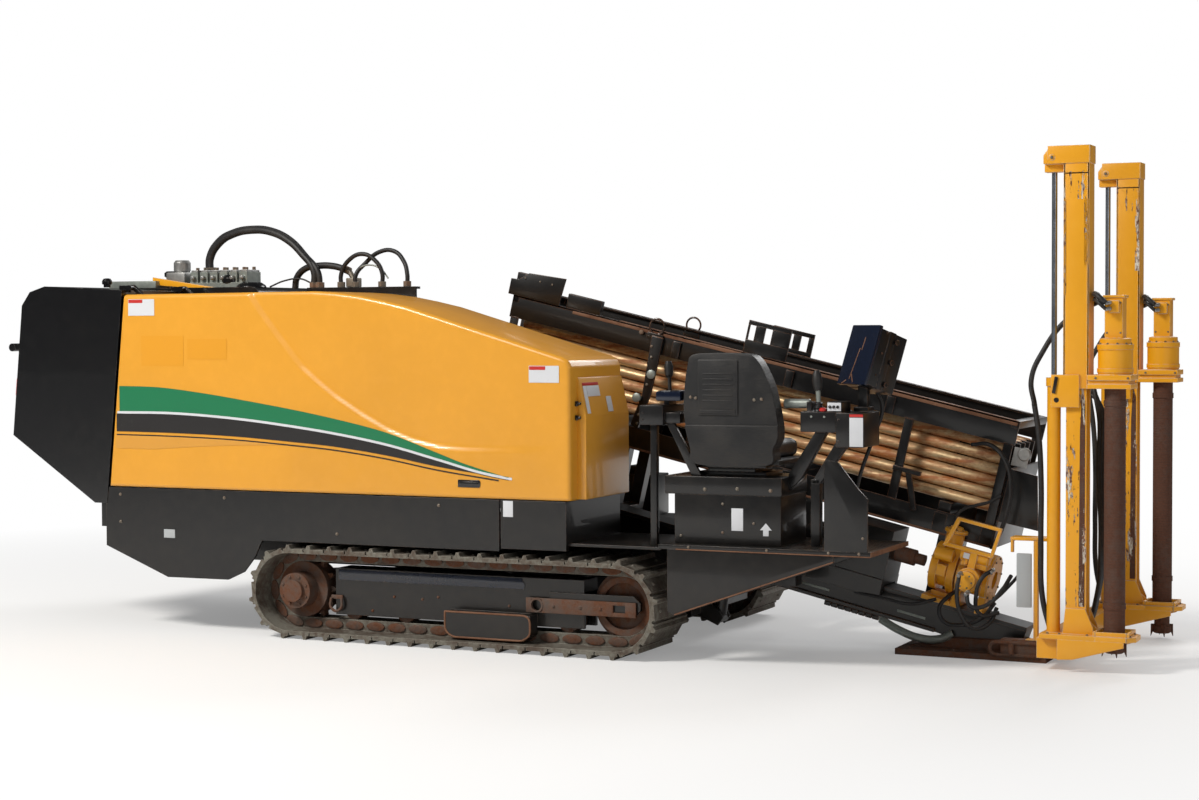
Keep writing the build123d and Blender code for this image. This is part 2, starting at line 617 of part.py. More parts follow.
with BuildPart() as rod_box:
    for y0, y1, lip in ((BOX_NEAR - FRAME_T, BOX_NEAR, 1), (BOX_FAR, BOX_FAR + FRAME_T, -1)):
        slab(BOX_REAR, BOX_FRONT, y0 + (FRAME_T - 12) * (lip < 0), y1 - (FRAME_T - 12) * (lip > 0),
             TOP_RAIL_LOW, TOP_RAIL_TOP)
        slab(BOX_REAR, BOX_FRONT, y0, y1, TOP_RAIL_TOP - 12, TOP_RAIL_TOP)
        slab(BOX_REAR, BOX_FRONT, y0 + (FRAME_T - 12) * (lip < 0), y1 - (FRAME_T - 12) * (lip > 0),
             LOW_RAIL_LOW, LOW_RAIL_TOP)
        slab(BOX_REAR, BOX_FRONT, y0, y1, LOW_RAIL_LOW, LOW_RAIL_LOW + 12)
        for x in (BOX_REAR + 10, 400, BOX_FRONT - 620, BOX_FRONT - 60):
            slab(x, x + 50, y0 + (FRAME_T - 12) * (lip < 0), y1 - (FRAME_T - 12) * (lip > 0),
                 LOW_RAIL_TOP, TOP_RAIL_LOW)
    for x in OUTRIGGERS + (BOX_REAR, BOX_FRONT - 70):
        slab(x, x + 70, BOX_NEAR - FRAME_T, BOX_FAR + FRAME_T, LOW_RAIL_LOW, ROD_BED - 60)
        slab(x, x + 70, BOX_NEAR, BOX_FAR, ROD_BED - 60, ROD_BED)
        for gap in range(1, ROD_COLUMNS):
            y = ROD_Y0 + (gap - 0.5) * ROD_PITCH_Y
            slab(x + 5, x + 65, y - 8, y + 8, ROD_BED, TOP_RAIL_LOW)
    for x in (BOX_REAR, BOX_FRONT - 40):
        slab(x, x + 40, BOX_NEAR - FRAME_T, BOX_FAR + FRAME_T, TOP_RAIL_TOP - 40, TOP_RAIL_TOP)
    # front plates, and brackets on the top rails: rear, front, near face, far face, top
    slab(BOX_FRONT, BOX_FRONT + 12, BOX_NEAR - 60, BOX_FAR + FRAME_T, LOW_RAIL_LOW, 1540)
    plate([(BOX_FRONT, 1250), (2470, 1256), (2400, 1540), (BOX_FRONT, 1540)],
          BOX_NEAR - 60, BOX_NEAR - 46)
    for x0, x1, y0, y1, top in (
        (-860, -620, BOX_NEAR - 40, BOX_NEAR, 1930),
        (-510, -290, BOX_NEAR - 40, BOX_NEAR, 1878),
        (620, 880, BOX_NEAR - 40, BOX_NEAR - 28, 1980),
        (545, 805, BOX_FAR + 28, BOX_FAR + 40, 1932),
    ):
        slab(x0, x1, y0, y1, TOP_RAIL_TOP, top)
save(rod_box.part, "rod_box", RACK)

with BuildPart() as rods:
    for col in range(ROD_COLUMNS):
        for row in range(ROD_ROWS):
            y = ROD_Y0 + col * ROD_PITCH_Y
            z = ROD_Z0 + row * ROD_PITCH_Z
            bar(ROD_REAR, ROD_REAR + ROD_LENGTH, y, z, ROD_R)
            bar(ROD_REAR, ROD_REAR + JOINT_L, y, z, JOINT_R)
            bar(ROD_REAR + ROD_LENGTH - JOINT_L, ROD_REAR + ROD_LENGTH, y, z, JOINT_R)
save(rods.part, "drill_rods", RACK)

with BuildPart() as carriage:
    slab(CARRIAGE_REAR, CARRIAGE_FRONT, -150, 150, RAIL_TOP + 6, RAIL_TOP + 40)
    for x in (CARRIAGE_REAR + 20, CARRIAGE_FRONT - 80):
        slab(x, x + 60, -80, 80, RAIL_TOP + FIT, RAIL_TOP + 6)
    for y0, y1 in ((-150, -RAIL_HALF - 6), (RAIL_HALF + 6, 150)):
        slab(CARRIAGE_REAR, CARRIAGE_FRONT, y0, y1, RAIL_TOP - 60, RAIL_TOP + 6)
    slab(CARRIAGE_REAR + 150, CARRIAGE_FRONT, -140, 140, RAIL_TOP + 40, 1075)
    for y in (-75, 75):
        bar(CARRIAGE_REAR - 60, CARRIAGE_REAR + 150, y, AXIS_Z - 20, 62)
    bar(CARRIAGE_FRONT - 120, CARRIAGE_FRONT, 0, AXIS_Z, SPINDLE_R + FIT, mode=Mode.SUBTRACT)
save(carriage.part, "drill_carriage", RACK)

with BuildPart() as spindle:
    bar(CARRIAGE_FRONT - 118, CARRIAGE_FRONT + 110, 0, AXIS_Z, SPINDLE_R)
    bar(CARRIAGE_FRONT + 110, CARRIAGE_FRONT + 165, 0, AXIS_Z, ROD_R)
save(spindle.part, "spindle", RACK)

# Vise: a fixed jaw ring in front, a turning wrench ring behind it
RING_R = 130.0
BORE_R = 48.0

with BuildPart() as vise:
    x0, x1 = VISE_REAR + 150, VISE_REAR + 330
    bar(x0, x1, 0, AXIS_Z, RING_R)
    slab(x0, x1, -110, 110, RAIL_TOP, AXIS_Z)
    for y0, y1 in ((-235, -110), (110, 235)):
        pin((x0 + x1) / 2, y0, y1, AXIS_Z, 58)
    bar(x0, x1, 0, AXIS_Z, BORE_R, mode=Mode.SUBTRACT)
    slab(VISE_REAR - 10, VISE_REAR + 150, -120, 120, RAIL_TOP, RAIL_TOP + 25)
    slab(VISE_REAR + 20, VISE_REAR + 120, -50, 50, RAIL_TOP, AXIS_Z - RING_R - FIT)
save(vise.part, "front_vise", RACK)

with BuildPart() as wrench:
    x0, x1 = VISE_REAR, VISE_REAR + 140
    bar(x0, x1, 0, AXIS_Z, RING_R)
    for z0, z1 in ((AXIS_Z + 110, AXIS_Z + 225),):
        column((x0 + x1) / 2, 0, z0, z1, 55)
    bar(x0, x1, 0, AXIS_Z, BORE_R, mode=Mode.SUBTRACT)
save(wrench.part, "wrench", RACK)

# Front foot and anchor frame, upright
with BuildPart() as foot:
    slab(1990, 2800, -230, 230, 0, SKID_TOP)
    slab(SEAT_REAR, SEAT_FRONT, -70, 70, SKID_TOP, SEAT_Z)
    for y in (-90, 75):
        plate([(2020, SKID_TOP), (2230, SEAT_Z - 4), (2640, SEAT_Z - 4), (2700, SKID_TOP)],
              y, y + 15)
save(foot.part, "ground_skid")

with BuildPart() as anchor_beam:
    slab(PLATE_REAR - 20, PLATE_REAR + 90, ANCHOR_NEAR - 60, ANCHOR_FAR + 60, 60, PLATE_Z)
    slab(2705, PLATE_REAR - 20, -100, 100, SKID_TOP, 120)
save(anchor_beam.part, "anchor_beam")


def make_anchor_base(y):
    """Base plate with the auger's hole, inner guide post and cylinder barrel."""
    with BuildPart() as base:
        slab(PLATE_REAR, PLATE_FRONT, y - PLATE_HALF, y + PLATE_HALF, PLATE_Z, PLATE_Z + PLATE_T)
        slab(AUGER_X - AUGER_HOLE, AUGER_X + AUGER_HOLE, y - AUGER_HOLE, y + AUGER_HOLE,
             PLATE_Z, PLATE_Z + PLATE_T, mode=Mode.SUBTRACT)
        half_w = POST_W / 2 - POST_WALL - SLIDE_FIT
        half_d = POST_D / 2 - POST_WALL - SLIDE_FIT
        slab(POST_X - half_w, POST_X + half_w, y - half_d, y + half_d, PLATE_Z + PLATE_T, 1580)
        column(CYL_X, y, PLATE_Z + PLATE_T, 1480, CYL_R)
        column(CYL_X, y, PLATE_Z + PLATE_T + 80, 1480, CYL_ROD_R + FIT, mode=Mode.SUBTRACT)
    return base.part


def make_anchor(y):
    """Sliding outer post with its cap, bracket and gear motor."""
    with BuildPart() as anchor:
        slab(POST_X - POST_W / 2, POST_X + POST_W / 2, y - POST_D / 2, y + POST_D / 2,
             BRACKET_Z, CAP_TOP)
        slab(CAP_REAR, POST_X, y - POST_D / 2, y + POST_D / 2, CAP_TOP - 90, CAP_TOP)
        slab(CAP_REAR, POST_X - POST_W / 2, y - 30, y + 30, CAP_TOP - 130, CAP_TOP - 90)
        slab(POST_X - POST_W / 2 + POST_WALL, POST_X + POST_W / 2 - POST_WALL,
             y - POST_D / 2 + POST_WALL, y + POST_D / 2 - POST_WALL,
             BRACKET_Z, CAP_TOP - 40, mode=Mode.SUBTRACT)
        slab(POST_X + POST_W / 2, AUGER_X + 95, y - 90, y + 90, BRACKET_Z, BRACKET_Z + BRACKET_T)
        column(AUGER_X, y, BRACKET_Z + BRACKET_T, 1640, 95)
        column(AUGER_X, y, 1640, 1780, 78)
        column(AUGER_X, y, 1780, 1910, 64)
    return anchor.part


def make_auger(y, tip):
    with BuildPart() as auger:
        column(AUGER_X, y, 320, BRACKET_Z - FIT, AUGER_R)
        column(AUGER_X, y, tip + 60, 320, 38)
        column(AUGER_X, y, tip, tip + 60, 52)
    return auger.part


for side, y, tip in (("near", ANCHOR_NEAR, 60.0), ("far", ANCHOR_FAR, 30.0)):
    save(make_anchor_base(y), f"anchor_base_{side}")
    save(make_anchor(y), f"anchor_slide_{side}")
    with BuildPart() as anchor_rod:
        column(CYL_X, y, 1330, CAP_TOP - 130, CYL_ROD_R)
    save(anchor_rod.part, f"anchor_rod_{side}")
    save(make_auger(y, tip), f"anchor_auger_{side}")


# Tilt cylinder of the rack, standing between the chassis lug and the drill rail
TILT_HIGH = rack_point(*TILT_PIN)
tilt_run = math.hypot(TILT_HIGH[0] - TILT_LOW[0], TILT_HIGH[1] - TILT_LOW[1])
tilt_lean = math.degrees(math.atan2(TILT_HIGH[0] - TILT_LOW[0], TILT_HIGH[1] - TILT_LOW[1]))
STAND = Location((TILT_LOW[0], TILT_Y, TILT_LOW[1]), (0, tilt_lean, 0))

EYE_OUT = 34.0
BARREL_R = 36.0
TILT_ROD_R = 20.0
BARREL_TOP = tilt_run - 62.0

with BuildPart() as tilt_barrel:
    pin(0, -EYE_HALF, EYE_HALF, 0, EYE_OUT)
    column(0, 0, 20, BARREL_TOP, BARREL_R)
    pin(0, -EYE_HALF, EYE_HALF, 0, TILT_PIN_R + FIT, mode=Mode.SUBTRACT)
    column(0, 0, 50, BARREL_TOP, TILT_ROD_R + FIT, mode=Mode.SUBTRACT)
save(tilt_barrel.part, "tilt_barrel", STAND)

with BuildPart() as tilt_rod:
    column(0, 0, 120, tilt_run - 20, TILT_ROD_R)
    pin(0, -EYE_HALF, EYE_HALF, tilt_run, EYE_OUT)
    pin(0, -EYE_HALF, EYE_HALF, tilt_run, TILT_PIN_R + 5, mode=Mode.SUBTRACT)
save(tilt_rod.part, "tilt_rod", STAND)


# Operator's station

with BuildPart() as platform:
    slab(DECK_FRONT, FLOOR_FRONT, -1000, -360, FLOOR_Z - FLOOR_T, FLOOR_Z)
    for y in (-1000, -BEAM_Y - BEAM_W / 2 - 15):
        plate([(DECK_FRONT + 50, FLOOR_Z - FLOOR_T), (DECK_FRONT + 50, 270), (DECK_FRONT + 90, 250),
               (1905, 560), (1905, FLOOR_Z - FLOOR_T)], y, y + 15)
    plate([(1800, FLOOR_Z), (2085, FLOOR_Z), (2085, 1000), (1960, 1170), (1800, 1170)], -1000, -985)
save(platform.part, "operator_platform")

with BuildPart() as seat_box:
    slab(SEAT_X0, SEAT_X1, SEAT_Y0, SEAT_Y1, FLOOR_Z, SEAT_BOX_TOP)
    slab(1080, 1500, -820, -560, SEAT_BOX_TOP, 1030)
save(seat_box.part, "seat_box")

with BuildPart() as seat_shell:
    plate([(1060, 1030), (1540, 1030), (1578, 1190), (1545, 1450), (1490, 1590), (1440, 1612),
           (1160, 1612), (1110, 1590), (1050, 1450), (1017, 1190)], -880, -820)
    slab(1040, 1560, -820, -380, 1030, 1060)
save(seat_shell.part, "seat_shell")

with BuildPart() as cushion:
    slab(1070, 1530, -770, -370, 1060 + FIT, 1150)
    fillet(cushion.edges().filter_by(Axis.Z), radius=50)
save(cushion.part, "seat_cushion")

with BuildPart() as back_cushion:
    slab(1110, 1490, -820 + FIT, -770, 1160, 1570)
    fillet(back_cushion.edges().filter_by(Axis.Y), radius=60)
save(back_cushion.part, "back_cushion")

with BuildPart() as left_console:
    slab(800, 860, -780, -720, DECK_TOP, 1200)
    slab(790, 990, -900, -480, 1200, 1330)
save(left_console.part, "left_console")

with BuildPart() as right_console:
    slab(1760, 1820, -780, -700, FLOOR_Z, 1220)
    slab(1690, 2020, -900, -480, 1220, 1350)
save(right_console.part, "right_console")

with BuildPart() as display:
    slab(1760, 2110, -540, -440, 1380, 1740)
    slab(1900, 1950, -520, -480, 1350, 1380)
save(display.part, "display_box")
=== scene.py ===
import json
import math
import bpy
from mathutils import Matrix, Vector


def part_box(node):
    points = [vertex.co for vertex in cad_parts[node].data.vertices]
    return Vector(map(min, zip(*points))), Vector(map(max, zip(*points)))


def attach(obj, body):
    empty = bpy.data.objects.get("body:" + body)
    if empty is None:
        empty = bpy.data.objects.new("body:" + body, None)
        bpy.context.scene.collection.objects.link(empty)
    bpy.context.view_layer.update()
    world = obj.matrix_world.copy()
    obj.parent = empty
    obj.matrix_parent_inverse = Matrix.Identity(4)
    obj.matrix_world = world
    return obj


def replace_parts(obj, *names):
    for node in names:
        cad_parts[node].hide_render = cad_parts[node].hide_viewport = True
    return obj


bl_info = {
    "name": "Horizontal Directional Drill",
    "version": (1, 0, 0),
    "blender": (4, 5, 0),
    "location": "3D View > Sidebar > Drill",
    "description": "Dresses the packed drill with its hood, seat, hoses, fittings and finishes",
    "category": "Object",
}

import bmesh
import bpy
from mathutils import Matrix, Vector

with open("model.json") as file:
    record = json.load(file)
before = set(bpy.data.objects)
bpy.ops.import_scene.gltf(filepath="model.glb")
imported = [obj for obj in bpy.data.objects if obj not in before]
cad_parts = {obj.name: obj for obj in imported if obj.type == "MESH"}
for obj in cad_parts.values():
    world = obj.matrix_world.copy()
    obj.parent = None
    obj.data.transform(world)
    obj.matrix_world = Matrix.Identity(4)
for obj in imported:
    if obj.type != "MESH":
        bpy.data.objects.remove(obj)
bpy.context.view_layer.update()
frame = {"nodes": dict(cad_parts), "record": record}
SLOTS = {row["node"]: row["material_slot"] for row in frame["record"]["subparts"]}


def srgb(red, green, blue):
    """A colour as it looks on a screen, 0 to 255, in the linear values that shaders use."""
    return tuple(
        (c / 255 / 12.92) if c / 255 <= 0.04045 else ((c / 255 + 0.055) / 1.055) ** 2.4
        for c in (red, green, blue)
    )


# Node materials

class Wire:
    """An output of a shader node. Arithmetic on it adds Math nodes."""

    def __init__(self, finish, socket):
        self.finish = finish
        self.socket = socket

    def __add__(self, other):
        return self.finish.math("ADD", self, other)

    def __sub__(self, other):
        return self.finish.math("SUBTRACT", self, other)

    def __mul__(self, other):
        return self.finish.math("MULTIPLY", self, other)

    def __rsub__(self, other):
        return self.finish.math("SUBTRACT", other, self)

    __radd__ = __add__
    __rmul__ = __mul__


class Finish:
    """A procedural material, built through one method that adds any node."""

    def __init__(self, name, owner=None):
        self.material = owner or bpy.data.materials.new(name)
        self.material.use_nodes = True
        self.tree = self.material.node_tree
        self.tree.nodes.clear()
        self.place = self.node("TexCoord", {}, {}, 3)
        self.z = self.node("SeparateXYZ", {}, {0: self.place}, 2)

    def node(self, kind, settings, sockets, out=0):
        """Any node: its settings are set first, then the values or links of its sockets."""
        made = self.tree.nodes.new("ShaderNode" + kind)
        for key, value in settings.items():
            setattr(made, key, value)
        for key, value in sockets.items():
            socket = made.inputs[key]
            if isinstance(value, Wire):
                self.tree.links.new(value.socket, socket)
            elif isinstance(value, tuple) and socket.type == "RGBA":
                socket.default_value = (*value[:3], 1)
            else:
                socket.default_value = value
        return Wire(self, made.outputs[out]) if made.outputs else None

    def math(self, operation, a, b):
        return self.node("Math", {"operation": operation}, {0: a, 1: b})

    def noise(self, scale, detail=3.0, rough=0.55, stretch=None):
        """Even noise from 0 to 1, or noise drawn out along an axis."""
        where = self.place
        if stretch:
            where = self.node("VectorMath", {"operation": "MULTIPLY"}, {0: where, 1: stretch})
        return self.node("TexNoise", {}, {"Vector": where, "Scale": scale, "Detail": detail,
                                          "Roughness": rough})

    def mix(self, factor, a, b):
        return self.node("Mix", {"data_type": "RGBA"}, {0: factor, 6: a, 7: b}, 2)

    def over(self, value, low, high):
        """0 below low, 1 above high, and a straight rise between."""
        return self.node("MapRange", {}, {0: value, 1: low, 2: high})

    def edges(self, radius):
        """The rounded normal, and 1 on worn corners, from the surface's own bends."""
        rounded = self.node("Bevel", {"samples": 4}, {0: radius})
        true = self.node("NewGeometry", {}, {}, 1)
        along = self.node("VectorMath", {"operation": "DOT_PRODUCT"}, {0: rounded, 1: true}, 1)
        return rounded, self.over(1 - along, 0.004, 0.09)

    def shade(self, color, roughness, bump=None, strength=0.2, distance=0.002, metallic=0.0,
              coat=0.0, rounded=None, alpha=None):
        sockets = {"Base Color": color, "Roughness": roughness, "Metallic": metallic,
                   "Coat Weight": coat}
        if alpha is not None:
            sockets["Alpha"] = alpha
        if bump is not None:
            bumped = {"Strength": strength, "Distance": distance, "Height": bump}
            if rounded is not None:
                bumped["Normal"] = rounded
            sockets["Normal"] = self.node("Bump", {}, bumped)
        elif rounded is not None:
            sockets["Normal"] = rounded
        shader = self.node("BsdfPrincipled", {}, sockets)
        self.node("OutputMaterial", {}, {0: shader})
        return self.material


DUST = srgb(150, 132, 108)
RUST = srgb(122, 72, 42)


def paint_finish(name, base, chip, rough, wear, dirt, rust, coat):
    """Painted steel: uneven tone, chipped corners, rust spots, and dust that thickens low down."""
    f = Finish(name)
    rounded, corner = f.edges(0.005)
    cloud, grain, speck = f.noise(1.7, 2.0), f.noise(14.0, 4.0), f.noise(75.0, 3.0, 0.6)
    color = f.mix(f.over(cloud, 0.3, 0.75) * 0.28, base, tuple(c * 0.72 for c in base))
    pale = tuple(min(1, c * 1.35 + 0.01) for c in base)
    color = f.mix(f.over(grain, 0.45, 0.8) * 0.12, color, pale)
    chips = f.over(speck * 0.55 + grain * 0.5 + corner * 0.34, 0.86 - 0.14 * wear,
                   0.93 - 0.14 * wear)
    color = f.mix(chips * 0.9, color, chip)
    spots = f.over(grain * 0.55 + speck * 0.5, 0.80 - 0.16 * rust, 0.90 - 0.16 * rust)
    color = f.mix(spots * rust, color, RUST)
    low = f.over(f.z, 1.3, 0.1)
    dust = f.over(cloud * 0.5 + grain * 0.6 + low * 0.35, 0.62, 1.05) * dirt
    color = f.mix(dust, color, DUST)
    return f.shade(color, rough + dust * 0.5 + chips * 0.2 + grain * 0.06, speck - chips * 0.6,
                   0.25, 0.0008, coat=coat, rounded=rounded)


def bare_finish(name, clean, rusty, amount, rough, metal, rings=0):
    """Bare or rusted steel: a clean tone with patches of rust and polished corners."""
    f = Finish(name)
    rounded, corner = f.edges(0.004)
    cloud, grain, speck = f.noise(5.0, 4.0), f.noise(32.0, 4.0), f.noise(140.0)
    patch = f.over(cloud * 0.6 + grain * 0.45 + speck * 0.1, 0.72 - 0.4 * amount,
                   0.95 - 0.4 * amount)
    color = f.mix(f.over(grain, 0.35, 0.7), tuple(c * 0.75 for c in clean), clean)
    color = f.mix(patch, color, f.mix(speck, rusty, tuple(c * 0.45 for c in rusty)))
    color = f.mix(corner * 0.35 * (1 - patch), color, tuple(min(1, c * 1.6) for c in clean))
    relief = speck * 0.4 + grain * 0.6 + patch * 0.4
    if rings:
        turned = f.math("SINE", f.z * (2 * math.pi * rings), 0.0)
        color = f.mix(f.over(turned, 0.3, 1.0) * 0.35, color, tuple(c * 0.55 for c in clean))
        relief = relief + turned * 0.8
    return f.shade(color, rough + patch * 0.35 + grain * 0.1, relief,
                   0.4, 0.0012, metallic=(1 - patch * 0.9) * metal, rounded=rounded)


def rod_finish(name):
    """Drill rods: pale worn steel along some, orange rust along others, darker patches here and
    there.
    """
    f = Finish(name)
    rounded, _ = f.edges(0.003)
    band = f.noise(9.0, 3.0, 0.6, (0.22, 3.2, 3.2))
    speck = f.noise(60.0, 4.0, 0.6, (0.5, 1.0, 1.0))
    cloud = f.noise(4.0, 3.0)
    rusty = f.over(band * 0.75 + speck * 0.3, 0.42, 0.62)
    color = f.mix(rusty, srgb(206, 178, 136), srgb(158, 96, 48))
    color = f.mix(f.over(cloud * 0.6 + speck * 0.5, 0.58, 0.76) * 0.6, color, srgb(90, 60, 42))
    return f.shade(color, 0.36 + rusty * 0.25, speck, 0.35, 0.0008,
                   metallic=(1 - rusty) * 0.65, rounded=rounded)


def track_finish(name):
    """Track shoes and links: grey-tan mud over rusted steel, bright where they rub."""
    f = Finish(name)
    rounded, corner = f.edges(0.004)
    cloud, grain, speck = f.noise(6.0, 4.0), f.noise(38.0, 5.0, 0.65), f.noise(150.0, 3.0)
    mud = f.over(cloud * 0.5 + grain * 0.55, 0.42, 0.62)
    color = f.mix(speck, srgb(62, 55, 50), srgb(96, 78, 64))
    color = f.mix(mud * 0.85, color, f.mix(speck, srgb(130, 129, 119), srgb(98, 94, 84)))
    color = f.mix(corner * 0.45, color, srgb(176, 173, 162))
    return f.shade(color, 0.62 + mud * 0.25, grain + speck * 0.3, 0.6, 0.003,
                   metallic=(1 - mud) * 0.4, rounded=rounded)


def rubber_finish(name):
    """Hose rubber, greyed by dust."""
    f = Finish(name)
    ring, speck, cloud = f.noise(260.0, 2.0), f.noise(70.0), f.noise(5.0)
    dust = f.over(speck * 0.5 + cloud * 0.5, 0.45, 0.7) * 0.45
    color = f.mix(dust, srgb(24, 24, 26), srgb(70, 66, 62))
    return f.shade(color, 0.46 + cloud * 0.2, ring + speck * 0.4, 0.25, 0.0006)


def chrome_finish(name):
    """Cylinder rods: bright, with a film of oil and dust drawn along them."""
    f = Finish(name)
    haze, speck = f.noise(9.0, 3.0), f.noise(80.0, 3.0, 0.5, (1.0, 1.0, 0.2))
    color = f.mix(f.over(haze, 0.4, 0.7) * 0.5, srgb(150, 160, 172), srgb(92, 98, 106))
    return f.shade(color, 0.16 + speck * 0.16, speck, 0.05, 0.0004, metallic=0.9)


def vinyl_finish(name):
    """Grained seat cover with dust in its hollows."""
    f = Finish(name)
    leather = f.node("TexVoronoi", {"feature": "DISTANCE_TO_EDGE"},
                     {"Vector": f.place, "Scale": 420.0})
    cloud = f.noise(7.0, 3.0)
    dust = f.over(cloud, 0.45, 0.75)
    color = f.mix(dust * 0.35, srgb(26, 25, 26), srgb(74, 68, 62))
    return f.shade(color, 0.42 + dust * 0.2, leather, 0.35, 0.0006, coat=0.05)


def plastic_finish(name):
    """Moulded black plastic, scratched and dusty."""
    f = Finish(name)
    rounded, corner = f.edges(0.004)
    grain, cloud = f.noise(420.0, 2.0), f.noise(4.0, 3.0)
    scratch = f.noise(28.0, 4.0, 0.6, (1, 1, 7))
    dust = f.over(cloud * 0.7 + scratch * 0.4, 0.5, 0.8)
    color = f.mix(dust * 0.22, srgb(18, 18, 20), srgb(88, 80, 70))
    color = f.mix(corner * 0.25, color, srgb(100, 96, 92))
    return f.shade(color, 0.44 + dust * 0.25, grain, 0.3, 0.0005, rounded=rounded)


def worn_finish(name):
    """Bare chipped steel in upright streaks; the paint behind shows between them."""
    f = Finish(name)
    streak = f.noise(26.0, 4.0, 0.65, (1.0, 1.0, 0.10))
    grain = f.noise(60.0, 4.0, 0.6, (1, 1, 0.5))
    color = f.mix(f.over(grain, 0.45, 0.6), srgb(212, 206, 190), srgb(104, 60, 36))
    hole = f.over(streak * 0.75 + grain * 0.3, 0.575, 0.60)
    return f.shade(color, 0.6, grain, 0.3, 0.0006, alpha=hole)


def sign_finish(name, base, rough=0.35):
    """Printed film: even colour, slightly scuffed."""
    f = Finish(name)
    speck, cloud = f.noise(55.0, 4.0), f.noise(8.0)
    worn = f.over(speck * 0.7 + cloud * 0.4, 0.66, 0.82)
    color = f.mix(worn * 0.35, base, tuple(c * 0.6 + 0.05 for c in base))
    return f.shade(color, rough + worn * 0.2, speck, 0.06, 0.0003, coat=0.15)


def build_finishes(colors):
    """Every finish of the machine, by name."""
    yellow, anchor = tuple(colors.hood_yellow), tuple(colors.anchor_yellow)
    black, gloss = srgb(10, 9, 10), srgb(7, 7, 9)
    table = {
        "yellow_paint": (paint_finish, yellow, srgb(206, 150, 84), 0.30, 0.0, 0.06, 0.0, 0.25),
        "anchor_paint": (paint_finish, anchor, srgb(206, 196, 178), 0.36, 0.75, 0.12, 0.35, 0.1),
        "black_paint": (paint_finish, black, srgb(96, 76, 62), 0.30, 0.22, 0.03, 0.10, 0.2),
        "gloss_black": (paint_finish, gloss, srgb(96, 90, 86), 0.22, 0.05, 0.015, 0.0, 0.4),
        "rack_paint": (paint_finish, black, srgb(126, 84, 58), 0.30, 0.80, 0.03, 0.50, 0.15),
        "track_steel": (track_finish,),
        "rusty_steel": (bare_finish, srgb(104, 92, 84), srgb(112, 70, 46), 0.8, 0.5, 0.5),
        "rod_steel": (rod_finish,),
        "auger_steel": (bare_finish, srgb(96, 72, 60), srgb(98, 60, 42), 0.85, 0.5, 0.35, 70),
        "chrome": (chrome_finish,),
        "hose_rubber": (rubber_finish,),
        "seat_plastic": (plastic_finish,),
        "seat_vinyl": (vinyl_finish,),
        "grey_steel": (bare_finish, srgb(150, 156, 150), srgb(116, 98, 78), 0.2, 0.4, 0.5),
        "aluminium": (bare_finish, srgb(172, 172, 170), srgb(130, 120, 108), 0.12, 0.4, 0.8),
        "green_film": (sign_finish, tuple(colors.stripe_green)),
        "white_film": (sign_finish, srgb(206, 208, 212)),
        "black_film": (sign_finish, srgb(34, 32, 32)),
        "red_film": (sign_finish, srgb(186, 44, 40)),
        "grey_film": (sign_finish, srgb(168, 172, 174)),
        "fade_film": (sign_finish, srgb(206, 146, 56)),
        "patch_film": (sign_finish, srgb(216, 148, 34)),
        # The bluish black of the side frames' strip is a painted reflection of the sky
        "sky_black": (paint_finish, srgb(26, 34, 50), srgb(110, 96, 84), 0.2, 0.1, 0.02, 0.05, 0.4),
        "rust_edge": (bare_finish, srgb(128, 90, 66), srgb(104, 64, 42), 0.5, 0.6, 0.25),
        "worn_film": (worn_finish,),
        # Dark blue for the display's lid and the arm pad: a painted reflection of the sky
        "screen_blue": (sign_finish, srgb(14, 22, 40), 0.16),
        "bolt_zinc": (bare_finish, srgb(134, 126, 114), srgb(128, 84, 54), 0.5, 0.45, 0.6),
    }
    return {name: make(name, *values) for name, (make, *values) in table.items()}


FINISH = {}
RECORD_SLOTS = {row["slot"] for row in frame["record"]["materials"]}
NEAR_SLOT = {"auger_steel": "rusty_steel", "green_film": "yellow_paint", "white_film": "grey_steel",
             "red_film": "grey_steel", "grey_film": "grey_steel", "fade_film": "yellow_paint",
             "patch_film": "yellow_paint", "black_film": "black_paint", "sky_black": "black_paint",
             "rust_edge": "rusty_steel", "worn_film": "anchor_paint", "bolt_zinc": "grey_steel",
             "screen_blue": "seat_plastic"}


# Meshes

# From the level rack's own lengths to the tipped rack
RACK = Matrix.Rotation(math.radians(13.2), 4, "Y")
WORLD = Matrix.Identity(4)


def placed(name, data):
    """An object with its data, in the scene."""
    made = bpy.data.objects.new(name, data)
    bpy.context.scene.collection.objects.link(made)
    return made


def object_from(name, solid):
    """An object in the scene from a bmesh, which is used up."""
    mesh = bpy.data.meshes.new(name)
    solid.to_mesh(mesh)
    solid.free()
    return placed(name, mesh)


